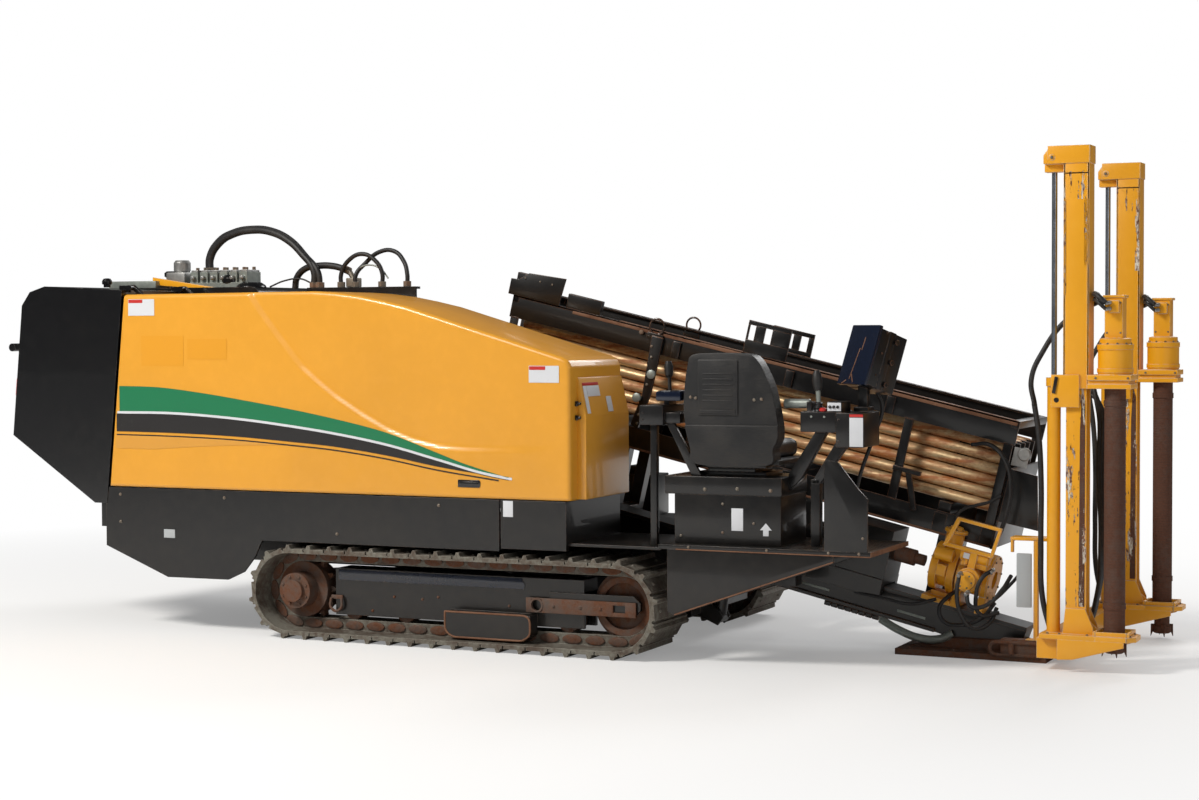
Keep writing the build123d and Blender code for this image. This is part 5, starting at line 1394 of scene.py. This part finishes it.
class DRILL_OT_vise(bpy.types.Operator):
    """Dress the vise and the wrench with bolts, plates, fittings and hoses"""
    bl_idname = "drill.vise"
    bl_label = "Vise"

    def execute(self, context):
        bolts, plates, tags = Shape(RACK), Shape(), Shape(RACK)
        in_place_of(vise_form(), "front_vise", "rack", "anchor_paint")
        for y, z in around(10, 0.118, 0.2):
            bolts.bolt((2.315, y, BORE_Z + z), (1, 0, 0), 0.008)
        for side in (-1, 1):
            bolts.bolts([(2.225 + x, BORE_Z + z) for x, z in around(6, 0.036)],
                        side * 0.276, 0.006, side)
        bolts.done("vise_bolts", "rack", "bolt_zinc")
        plates.block(2.644, 2.722, -0.232, -0.214, 0.285, 0.566, 0.005)
        plates.done("front_panel", "rack", "grey_film")
        tags.block(2.17, 2.215, -0.2075, -0.2055, 1.052, 1.082, 0.0005)
        tags.done("vise_tags", "rack", "white_film")
        wrench_bolts, fittings = Shape(RACK), Shape(RACK)
        in_place_of(wrench_form(), "wrench", "wrench", "anchor_paint")
        for y, z in around(8, 0.116, 0.3):
            wrench_bolts.bolt((1.985, y, BORE_Z + z), (-1, 0, 0), 0.008)
        for x, y in around(8, 0.045, 0.3):
            wrench_bolts.bolt((2.055 + x, y, 1.157), (0, 0, 1), 0.006)
        wrench_bolts.done("wrench_bolts", "wrench", "bolt_zinc")
        for x, y, z in ((2.158, -0.095, 0.86), (2.20, -0.290, 0.985), (2.26, -0.290, 0.90),
                        (2.34, -0.19, 1.03), (2.36, -0.17, 0.86)):
            fittings.rod((x, y, z), (x, y - 0.03, z), 0.012, 6)
            fittings.rod((x, y - 0.028, z), (x, y - 0.05, z - 0.012), 0.010, 14)
        fittings.done("vise_fittings", "rack", "aluminium")
        for i, route in enumerate(VISE_HOSES):
            hose(f"vise_hose_{i}", route, 0.011 if i < 4 else 0.009, "rack", place=RACK)
        carrier = Shape(RACK)
        for k in range(8):
            carrier.block(1.452 + k * 0.040, 1.488 + k * 0.040, -0.095, -0.035, 0.574, 0.600, 0.004)
        carrier.done("hose_carrier", "rack", "rack_paint")
        skid = Shape()
        skid.block(2.560, 2.795, -0.230, -0.160, 0.030, 0.115, 0.005)
        skid.tube([(2.640, -0.237, 0.099), (2.520, -0.237, 0.099), (2.500, -0.237, 0.066),
                   (2.520, -0.237, 0.033), (2.760, -0.237, 0.033), (2.780, -0.237, 0.066),
                   (2.760, -0.237, 0.099), (2.640, -0.237, 0.099)], 0.010, 10)
        for x, y in ((2.06, -0.20), (2.30, -0.20), (2.06, 0.20), (2.50, 0.20), (2.72, 0.20)):
            skid.bolt((x, y, 0.032), (0, 0, 1), 0.014)
        skid.prism([(2.575, 0.032), (2.780, 0.032), (2.780, 0.108), (2.600, 0.108)], -0.234, -0.229,
                   "Y", 0.002)
        skid.rod((2.62, -0.245, 0.040), (2.62, -0.245, 0.094), 0.016, 20)
        skid.done("skid_fittings", "rack", "rusty_steel")
        return {"FINISHED"}


AUGER_X, CYLINDER_X = 3.180, 2.872
# Side, middle of the post in Y, height of the auger's tip
ANCHORS = (("near", -0.380, 0.098), ("far", 0.930, 0.030))
MOTOR_PORTS = (1.83, 1.86)


def anchor_slide(y):
    """Sliding post with its cap, and the motor on its bracket."""
    slide = Shape()
    # Four walls and the lid of the post
    for x0, x1 in ((2.930, 2.940), (3.050, 3.060)):
        slide.block(x0, x1, y - 0.060, y + 0.060, 1.430, 2.615, 0.002)
    for y0 in (y - 0.060, y + 0.050):
        slide.block(2.932, 3.058, y0, y0 + 0.010, 1.430, 2.615, 0.001)
    slide.block(2.931, 3.059, y - 0.0595, y + 0.0595, 2.612, 2.648, 0.004)
    # Rim of the cap, and its nose over the cylinder
    for x0, x1, y0, y1 in ((2.850, 3.064, -0.0645, -0.0600), (2.850, 3.064, 0.0600, 0.0645),
                           (3.0600, 3.0645, -0.0645, 0.0645)):
        slide.block(x0, x1, y + y0, y + y1, 2.560, 2.650, 0.0015)
    slide.prism([(2.827, 2.560), (2.827, 2.604), (2.861, 2.650), (2.938, 2.650), (2.938, 2.560)],
                y - 0.060, y + 0.060, "Y", 0.004)
    slide.block(2.827, 2.932, y - 0.030, y + 0.030, 2.520, 2.562, 0.003)
    slide.rod((CYLINDER_X, y - 0.068, 2.592), (CYLINDER_X, y + 0.068, 2.592), 0.015, 24)
    # Side plate, the motor's bracket, and the motor
    slide.block(CYLINDER_X, 3.015, y - 0.072, y - 0.060, 1.335, 1.500, 0.003)
    for z0, z1, inset in ((1.430, 1.454, 0.0), (1.452, 1.474, 0.012), (1.472, 1.500, 0.0)):
        slide.block(3.058, 3.275 - inset, y - 0.090 + inset, y + 0.090 - inset, z0, z1, 0.003)
    slide.lathe([(0, 0.086), (0.152, 0.086), (0.156, 0.078), (0.182, 0.078), (0.186, 0.060)],
                (AUGER_X, y, 1.498), (AUGER_X, y, 2.0), 48)
    slide.block(3.134, 3.226, y - 0.046, y + 0.046, 1.680, 1.895, 0.006)
    slide.block(3.160, 3.210, y - 0.066, y - 0.040, 1.810, 1.870, 0.004)
    return slide


def anchor_base(y):
    """Base plate with its webs, H-shaped inner post and cylinder barrel."""
    base = Shape()
    # Plate with a window for the auger, and the window's rim
    base.block(2.820, 3.104, y - 0.100, y + 0.100, 0.165, 0.190, 0.002)
    for y0, y1 in ((y - 0.100, y - 0.076), (y + 0.076, y + 0.100)):
        base.block(3.102, 3.262, y0, y1, 0.165, 0.190, 0.002)
    base.prism([(3.256, y - 0.100), (3.262, y - 0.100), (3.300, y - 0.060), (3.300, y + 0.060),
                (3.262, y + 0.100), (3.256, y + 0.100)], 0.165, 0.190, "Z", 0.001)
    for x0, x1, y0, y1 in ((3.090, 3.104, -0.090, 0.090), (3.256, 3.270, -0.090, 0.090),
                           (3.100, 3.260, -0.090, -0.076), (3.100, 3.260, 0.076, 0.090)):
        base.block(x0, x1, y + y0, y + y1, 0.188, 0.212, 0.001)
    # Tapered webs below, flanges of the post, gussets
    for edge in (-1, 1):
        low, high = sorted((y + edge * 0.100, y + edge * 0.088))
        base.prism([(2.912, 0.166), (2.912, 0.062), (2.990, 0.066), (3.245, 0.138),
                    (3.245, 0.166)], low, high, "Y", 0.002)
        low, high = sorted((y + edge * 0.047, y + edge * 0.035))
        base.block(2.943, 3.047, low, high, 0.188, 1.580, 0.002)
        low, high = sorted((y + edge * 0.047, y + edge * 0.057))
        base.prism([(2.930, 0.188), (3.085, 0.188), (3.085, 0.225), (3.045, 0.320),
                    (2.945, 0.320)], low, high, "Y", 0.002)
    base.block(2.988, 3.002, y - 0.040, y + 0.040, 0.188, 1.580, 0.001)
    # Cylinder barrel and its gland
    base.ring((CYLINDER_X, y, 0.188), (CYLINDER_X, y, 1.480), 0.034, 0.0145, 32)
    base.ring((CYLINDER_X, y, 1.440), (CYLINDER_X, y, 1.484), 0.040, 0.030, 32)
    return base


def anchor_auger(y, tip):
    """Shaft with its joints, and four cutting bits at its tip."""
    auger = Shape()
    profile = [(0, 0.040), (0.006, 0.050), (0.040, 0.050), (0.046, 0.042), (0.190 - tip, 0.042),
               (0.196 - tip, 0.053)]
    for z in (0.32, 1.34):
        profile += [(z - tip, 0.053), (z + 0.002 - tip, 0.057), (z + 0.030 - tip, 0.057),
                    (z + 0.032 - tip, 0.053)]
    profile += [(1.4297 - tip, 0.053)]
    auger.lathe(profile, (AUGER_X, y, tip), (AUGER_X, y, 2.0), 40)
    for k in range(4):
        turn = math.radians(90 * k + 20)
        x, y0 = AUGER_X + 0.046 * math.cos(turn), y + 0.046 * math.sin(turn)
        auger.prism([(x - 0.014, tip + 0.05), (x + 0.014, tip + 0.05),
                     (x + 0.016 * math.cos(turn), tip - 0.018)], y0 - 0.009, y0 + 0.009, "Y", 0.001)
    return auger


def slide_trim(side, y, body):
    """Bolts, castings, worn strips and fittings that ride on the sliding post."""
    bolts, castings, wear, black = Shape(), Shape(), Shape(), Shape()
    for dx, dy in around(10, 0.078):
        bolts.bolt((AUGER_X + dx, y + dy, 1.655), (0, 0, 1), 0.007)
    bolts.bolts([(AUGER_X + dx, z) for dx in (-0.034, 0.034) for z in (1.71, 1.86)],
                y - 0.046, 0.006)
    bolts.bolts([(CYLINDER_X, 2.592)], y - 0.068, 0.010)
    bolts.bolts([(3.10, 1.484), (3.26, 1.484)], y - 0.09, 0.007)
    bolts.done(f"anchor_bolts_{side}", body, "bolt_zinc")
    castings.ring((AUGER_X, y, 1.510), (AUGER_X, y, 1.532), 0.090, 0.084, 48)
    castings.ring((AUGER_X, y, 1.625), (AUGER_X, y, 1.652), 0.090, 0.084, 48)
    castings.block(3.125, 3.235, y - 0.052, y + 0.052, 1.884, 1.898, 0.004)
    castings.done(f"anchor_castings_{side}", body, "anchor_paint")
    for x0, x1, z0, z1 in ((2.932, 3.058, 2.380, 2.520), (2.931, 2.946, 1.900, 2.380),
                           (3.034, 3.058, 2.050, 2.380)):
        wear.block(x0, x1, y - 0.0606, y - 0.0600, z0, z1, 0.0)
    wear.done(f"anchor_wear_{side}", body, "worn_film")
    black.block(2.934, 3.056, y - 0.0606, y - 0.0596, 2.508, 2.514, 0.0)
    black.block(2.885, 2.903, y - 0.080, y - 0.072, 1.405, 1.490, 0.006, ("Y", 10))
    # A black disc: painted shade where the side plate's round hole is
    black.rod((2.900, y - 0.0725, 1.372), (2.900, y - 0.0735, 1.372), 0.013, 20, 0.0)
    black.done(f"anchor_marks_and_hole_shade_{side}", body, "rack_paint")
    ends = Shape()
    for z in MOTOR_PORTS:
        ends.rod((3.165, y - 0.066, z), (3.165, y - 0.09, z), 0.011, 6)
        ends.rod((3.165, y - 0.088, z), (3.150, y - 0.105, z - 0.004), 0.009, 14)
    ends.done(f"motor_fittings_{side}", body, "aluminium")


def anchor_hoses(side, y, body):
    """Hoses from the motor to the post's rear, and the one down beside the barrel."""
    for i, z in enumerate(MOTOR_PORTS):
        hose(f"motor_hose_{side}_{i}",
             [(3.150, y - 0.105, z), (3.110, y - 0.095, z + 0.035),
              (3.080, y - 0.02, z + 0.045), (3.075, y + 0.065, z + 0.03),
              (3.000, y + 0.085, 1.83), (2.909, y + 0.090, 1.77), (2.800, y + 0.075, 1.62),
              (2.742, y + 0.055, 1.47), (2.760, y + 0.035 + 0.02 * i, 1.34)],
             0.0095 + 0.004 * i, body)
    hose(f"post_hose_{side}", [(2.760, y + 0.045, 1.35), (2.785, y + 0.035, 1.20),
                               (2.800, y + 0.030, 0.96), (2.800, y + 0.030, 0.62),
                               (2.806, y + 0.040, 0.36), (2.850, y + 0.035, 0.184)],
         0.014, "rack")


def hose_stand():
    """Stand behind the near post, with the three hoses that go down to the beam."""
    stand = Shape()
    stand.rod((2.897, -0.10, 0.160), (2.897, -0.10, 1.470), 0.012, 16)
    stand.block(2.883, 2.917, -0.118, -0.082, 1.360, 1.472, 0.003)
    stand.done("hose_stand", "rack", "rack_paint")
    for i in range(3):
        hose(f"cross_hose_{i}", [(2.905, -0.100, 1.450 - i * 0.035),
                                 (2.975, -0.115, 1.470 - i * 0.035),
                                 (3.045 + i * 0.012, -0.165, 1.340 - i * 0.01),
                                 (3.060 + i * 0.014, -0.200, 1.00),
                                 (3.072 + i * 0.010, -0.200, 0.64),
                                 (3.050, -0.185 + i * 0.02, 0.36),
                                 (2.985, -0.175 + i * 0.03, 0.18),
                                 (2.903, -0.175 + i * 0.03, 0.110)], 0.012, "rack")


def base_trim(side, y):
    """Bolts, worn streaks and ribs on the base."""
    low = Shape()
    for x in (2.86, 2.92, 3.06):
        for dy in (-0.08, 0.08):
            low.bolt((x, y + dy, 0.190), (0, 0, 1), 0.009)
    for dy in (-0.082, 0.082):
        low.bolt((3.27, y + dy * 0.7, 0.190), (0, 0, 1), 0.009)
    low.done(f"base_bolts_{side}", "rack", "bolt_zinc")
    streak = Shape()
    streak.block(2.944, 3.046, y - 0.0476, y - 0.0470, 0.330, 1.428, 0.0)
    streak.done(f"post_streaks_{side}", "rack", "worn_film")
    stain = Shape()
    stain.prism([(3.010, 0.33), (3.040, 0.33), (3.041, 1.35), (3.024, 1.40), (3.014, 1.22)],
                y - 0.0474, y - 0.0470, "Y", 0.0)
    stain.done(f"post_stain_{side}", "rack", "auger_steel")
    ribs = Shape()
    ribs.prism([(3.046, 0.191), (3.100, 0.191), (3.100, 0.213), (3.046, 0.262)],
               y - 0.006, y + 0.006, "Y", 0.002)
    for dy in (-0.047, 0.047):
        ribs.prism([(3.043, 0.191), (3.094, 0.191), (3.094, 0.205), (3.043, 0.245)],
                   y + dy - 0.005, y + dy + 0.005, "Y", 0.002)
    ribs.done(f"base_ribs_{side}", "rack", "anchor_paint")


class DRILL_OT_anchors(bpy.types.Operator):
    """Fit the anchors' bolts, worn strips and hoses"""
    bl_idname = "drill.anchors"
    bl_label = "Anchors"

    def execute(self, context):
        for side, y, tip in ANCHORS:
            body = f"anchor_{side}"
            in_place_of(anchor_slide(y), f"anchor_slide_{side}", body, "anchor_paint")
            in_place_of(anchor_base(y), f"anchor_base_{side}", "rack", "anchor_paint")
            in_place_of(anchor_auger(y, tip), f"anchor_auger_{side}", f"auger_{side}", "auger_steel")
            slide_trim(side, y, body)
            anchor_hoses(side, y, body)
            if side == "near":
                hose_stand()
            base_trim(side, y)
        return {"FINISHED"}


class DRILL_OT_engine_top(bpy.types.Operator):
    """Add the valve, the breathers and the small hoses behind the hood"""
    bl_idname = "drill.engine_top"
    bl_label = "Engine top"

    def execute(self, context):
        yellow, grey, black, plate, zinc = Shape(), Shape(), Shape(), Shape(), Shape()
        yellow.prism([(-2.780, 2.020), (-2.780, 2.068), (-2.320, 2.000), (-2.320, 1.985)],
                     -0.262, -0.250, "Y", 0.002)
        yellow.done("valve_bracket", "chassis", "anchor_paint")
        for k in range(6):
            x = -2.520 + k * 0.072 + 0.028
            grey.block(x - 0.024, x + 0.024, -0.226, -0.084, 2.093, 2.108, 0.004)
            grey.lathe([(0, 0.015), (0.02, 0.015), (0.026, 0.009)], (x, -0.230, 2.060),
                       (x, -0.27, 2.060), 14)
            zinc.rod((x, -0.11, 2.105), (x, -0.11, 2.128), 0.011, 6)
            zinc.rod((x, -0.19, 2.105), (x, -0.19, 2.124), 0.011, 6)
        grey.block(-2.700, -2.560, -0.235, -0.090, 2.000, 2.098, 0.010)
        grey.lathe([(0, 0.045), (0.01, 0.052), (0.06, 0.052), (0.075, 0.040)], (-2.63, -0.16, 2.098),
                   (-2.63, -0.16, 2.20), 28)
        grey.done("valve_parts", "chassis", "aluminium")
        zinc.done("valve_fittings", "chassis", "bolt_zinc")
        plate.block(-3.087, -2.730, -0.300, -0.120, 2.000, 2.045, 0.006)
        plate.done("cooler_plate", "chassis", "grey_steel")
        for x, y, r, h in ((-2.237, -0.200, 0.058, 0.080), (-2.791, -0.700, 0.030, 0.055)):
            base = 2.000 if y > -0.5 else 1.999
            black.lathe([(0, r * 0.7), (h * 0.3, r * 0.7), (h * 0.35, r), (h * 0.7, r),
                         (h * 0.95, r * 0.7), (h, r * 0.3)], (x, y, base), (x, y, base + 1), 28)
        black.lathe([(0, 0.092), (0.012, 0.086), (0.028, 0.062), (0.034, 0.03)],
                    (-2.085, -0.210, 2.000), (-2.085, -0.210, 2.1), 32)
        black.done("breathers", "chassis", "gloss_black")
        hose("hose_back", [(-1.770, -0.210, 1.99), (-1.755, -0.215, 2.05),
                           (-1.690, -0.225, 2.105), (-1.582, -0.235, 2.122),
                           (-1.480, -0.240, 2.118), (-1.400, -0.245, 2.100)], 0.020, "chassis")
        hose("hose_arch_twin", ARCH_TWIN, 0.018, "chassis")
        hose("cable_thin", [(-1.93, -0.24, 2.000), (-1.82, -0.25, 2.035), (-1.70, -0.26, 2.045),
                            (-1.62, -0.27, 2.020)], 0.005, "chassis")
        hose("cable_loop", [(-1.330, -0.27, 2.03), (-1.290, -0.27, 2.095), (-1.210, -0.27, 2.120),
                            (-1.130, -0.27, 2.090), (-1.085, -0.27, 2.040)], 0.005, "chassis",
             "grey_steel")
        ends = Shape()
        ends.rod((-1.402, -0.245, 2.101), (-1.362, -0.247, 2.085), 0.023, 20)
        ends.rod((-1.366, -0.247, 2.088), (-1.335, -0.250, 2.040), 0.016, 20)
        ends.block(-1.365, -1.290, -0.290, -0.230, 1.991, 2.045, 0.006)
        for x in (-1.400, -1.300, -1.120, -0.950, -1.590, -1.548):
            ends.rod((x, -0.283, 1.990), (x, -0.283, 2.022), 0.024 if x > -1.5 else 0.027, 6)
        ends.rod((-2.420, -0.155, 2.090), (-2.420, -0.155, 2.125), 0.028, 6)
        ends.done("hose_ends", "chassis", "bolt_zinc")
        return {"FINISHED"}


class DRILL_OT_rear(bpy.types.Operator):
    """Detail the rear box, the tanks and the mud pump"""
    bl_idname = "drill.rear"
    bl_label = "Rear and far side"

    def execute(self, context):
        bolts, black, grey = Shape(), Shape(), Shape()
        for y in (-0.96, -0.375):
            for z in (1.22, 1.50, 1.80):
                x = -3.256 + (z - 1.2) * 0.0979
                bolts.bolt((x, y, z), (-1, 0, 0.098), 0.009)
        bolts.bolts([(x, 1.15) for x in (-1.85, -1.50, -1.10)], 0.970, 0.009, 1)
        bolts.bolts([(x, z) for x in (-2.45, -2.33, -2.21) for z in (0.72, 0.95)], 0.920, 0.011, 1)
        bolts.done("rear_bolts", "chassis", "bolt_zinc")
        for x in (-1.75, -1.15):
            black.tube([(x, 0.560, 1.254), (x, 0.900, 1.254), (x, 0.974, 1.20), (x, 0.974, 0.66)],
                       0.006, 8)
        for y in (-0.905, -0.425):
            black.block(-2.640, -2.560, y - 0.03, y + 0.03, 0.66, 0.72, 0.006)
        black.lathe([(0, 0.050), (0.008, 0.058), (0.030, 0.058), (0.038, 0.044)],
                    (-1.2, 0.78, 1.288), (-1.2, 0.78, 1.4), 32)
        black.lathe([(0, 0.052), (0.008, 0.062), (0.030, 0.062), (0.040, 0.048)],
                    (-2.85, 0.06, 2.073), (-2.85, 0.06, 2.2), 32)
        black.done("tank_straps", "chassis", "gloss_black")
        grey.lathe([(0, 0.055), (0.01, 0.062), (0.16, 0.062), (0.20, 0.045)], (-2.19, 0.74, 0.90),
                   (-2.19, 0.74, 1.2), 32)
        for y in (0.62, 0.74, 0.86):
            grey.ring((-2.100, y, 0.780), (-2.080, y, 0.780), 0.056, 0.047, 32)
        grey.done("pump_parts", "chassis", "grey_steel")
        hose("pump_suction", [(-2.08, 0.86, 0.90), (-2.02, 0.90, 0.96), (-1.90, 0.945, 0.90),
                              (-1.80, 0.950, 0.74), (-1.72, 0.945, 0.62)], 0.022, "chassis")
        hose("pump_delivery", [(-2.11, 0.62, 0.90), (-2.08, 0.60, 1.00), (-2.01, 0.56, 1.05),
                               (-1.955, 0.52, 0.95), (-1.90, 0.50, 0.75), (-1.60, 0.46, 0.63),
                               (-1.00, 0.44, 0.615)], 0.018, "chassis")
        far = Shape()
        far.block(-0.600, 0.180, 0.720, 0.960, 0.602, 0.850, 0.006)
        for k in range(4):
            far.block(-0.560 + k * 0.18, -0.430 + k * 0.18, 0.760, 0.930, 0.848, 0.900, 0.004)
        far.done("far_valves", "chassis", "black_paint")
        lean = Matrix.Rotation(math.radians(5.6), 4, "Y")
        lamp = Shape(Matrix.Translation((-3.236, 0, 1.40)) @ lean)
        lamp.block(-0.030, -0.024, -0.97, -0.93, -0.05, 0.05, 0.004)
        lamp.block(-0.030, -0.024, -0.40, -0.36, -0.05, 0.05, 0.004)
        lamp.done("reflectors", "chassis", "red_film")
        return {"FINISHED"}


# The photo's camera: focal length and width in pixels, place in metres, turns in degrees
FOCAL, PHOTO_WIDTH, SENSOR = 2155.43, 1199, 36.0
EYE = (5.371, -11.266, 1.748)
HEADING, PITCH, ROLL = 24.844, 1.936, -0.225


class DRILL_OT_stage(bpy.types.Operator):
    """Set the floor, the lamps and the camera"""
    bl_idname = "drill.stage"
    bl_label = "Stage"

    def execute(self, context):
        scene, settings = context.scene, context.scene.drill_stage
        floor = bmesh.new()
        bmesh.ops.create_grid(floor, x_segments=4, y_segments=4, size=60.0)
        ground = object_from("floor", floor)
        ground.location.z = -0.001
        f = Finish("floor")
        reach = f.node("VectorMath", {"operation": "LENGTH"}, {0: f.place}, 1)
        plain = f.node("BsdfDiffuse", {}, {0: tuple(settings.floor)})
        bright = f.node("Emission", {}, {0: (1.0, 1.0, 1.0), 1: 1.0})
        shown = f.node("LightPath", {}, {}, 0)
        away = f.over(reach, 3.0, 8.0) * 0.75 + 0.25
        mixed = f.node("MixShader", {}, {0: away * shown, 1: plain, 2: bright})
        f.node("OutputMaterial", {}, {0: mixed})
        ground.data.materials.append(f.material)

        world = bpy.data.worlds.new("studio")
        scene.world = world
        w = Finish("studio", world)
        seen = w.node("LightPath", {}, {}, 0)
        glossy = w.node("LightPath", {}, {}, 3)
        through = w.node("LightPath", {}, {}, 6)
        lit = settings.ambient - glossy * settings.ambient * 0.72
        power = w.math("MAXIMUM", lit, seen + through)
        sky = w.node("Background", {}, {0: (1.0, 1.0, 1.0), 1: power})
        w.node("OutputWorld", {}, {0: sky})

        def lamp(name, place, target, size, power, tint=(1, 1, 1)):
            data = bpy.data.lights.new(name, "AREA")
            data.shape, data.size, data.energy, data.color = "DISK", size, power, tint
            made = placed(name, data)
            made.location = place
            aim = Vector(target) - Vector(place)
            made.rotation_euler = aim.to_track_quat("-Z", "Y").to_euler()
        lamp("key", (-4.5, -8.0, 9.0), (0, 0, 0.8), 3.0, settings.key, (1, 0.97, 0.92))
        lamp("fill", (8.0, -6.0, 4.5), (0.5, 0, 0.8), 5.0, settings.fill)
        lamp("back", (3.0, 8.0, 7.0), (0, 0, 1.0), 5.0, 450.0)

        data = bpy.data.cameras.new("camera")
        data.sensor_width, data.lens = SENSOR, FOCAL / PHOTO_WIDTH * SENSOR
        data.clip_end = 200.0
        camera = placed("camera", data)
        heading, pitch, roll = (math.radians(a) for a in (HEADING, PITCH, ROLL))
        forward = Vector((-math.sin(heading) * math.cos(pitch), math.cos(heading) * math.cos(pitch),
                          -math.sin(pitch)))
        right = Vector((math.cos(heading), math.sin(heading), 0))
        up = right.cross(forward)
        right, up = (right * math.cos(roll) + up * math.sin(roll),
                     up * math.cos(roll) - right * math.sin(roll))
        camera.matrix_world = Matrix((*zip(right, up, -forward, EYE), (0, 0, 0, 1)))
        scene.camera = camera
        scene.view_settings.view_transform = "Standard"
        return {"FINISHED"}


OPERATORS = (DRILL_OT_finishes, DRILL_OT_hood, DRILL_OT_stripes, DRILL_OT_seat, DRILL_OT_hoses,
             DRILL_OT_undercarriage, DRILL_OT_skirts, DRILL_OT_furniture, DRILL_OT_station,
             DRILL_OT_rod_box, DRILL_OT_rack, DRILL_OT_vise, DRILL_OT_anchors, DRILL_OT_engine_top,
             DRILL_OT_rear, DRILL_OT_stage)


class DRILL_PT_panel(bpy.types.Panel):
    bl_idname = "DRILL_PT_panel"
    bl_label = "Directional Drill"
    bl_space_type = "VIEW_3D"
    bl_region_type = "UI"
    bl_category = "Drill"

    def draw(self, context):
        column = self.layout.column()
        for group in (getattr(context.scene, name) for name in GROUPS):
            for name in group.bl_rna.properties.keys():
                if name not in ("rna_type", "name"):
                    column.prop(group, name)
        for operator in OPERATORS:
            column.operator(operator.bl_idname)


GROUPS = {"drill_colors": DrillColors, "drill_hood": DrillHood, "drill_stage": DrillStage}


def register():
    for cls in (*GROUPS.values(), *OPERATORS, DRILL_PT_panel):
        bpy.utils.register_class(cls)
    for name, group in GROUPS.items():
        setattr(bpy.types.Scene, name, bpy.props.PointerProperty(type=group))


def unregister():
    for name in GROUPS:
        delattr(bpy.types.Scene, name)
    for cls in reversed((*GROUPS.values(), *OPERATORS, DRILL_PT_panel)):
        bpy.utils.unregister_class(cls)


def main():
    register()
    for operator in OPERATORS:
        group, call = operator.bl_idname.split(".")
        getattr(getattr(bpy.ops, group), call)()


if __name__ == "__main__":
    main()
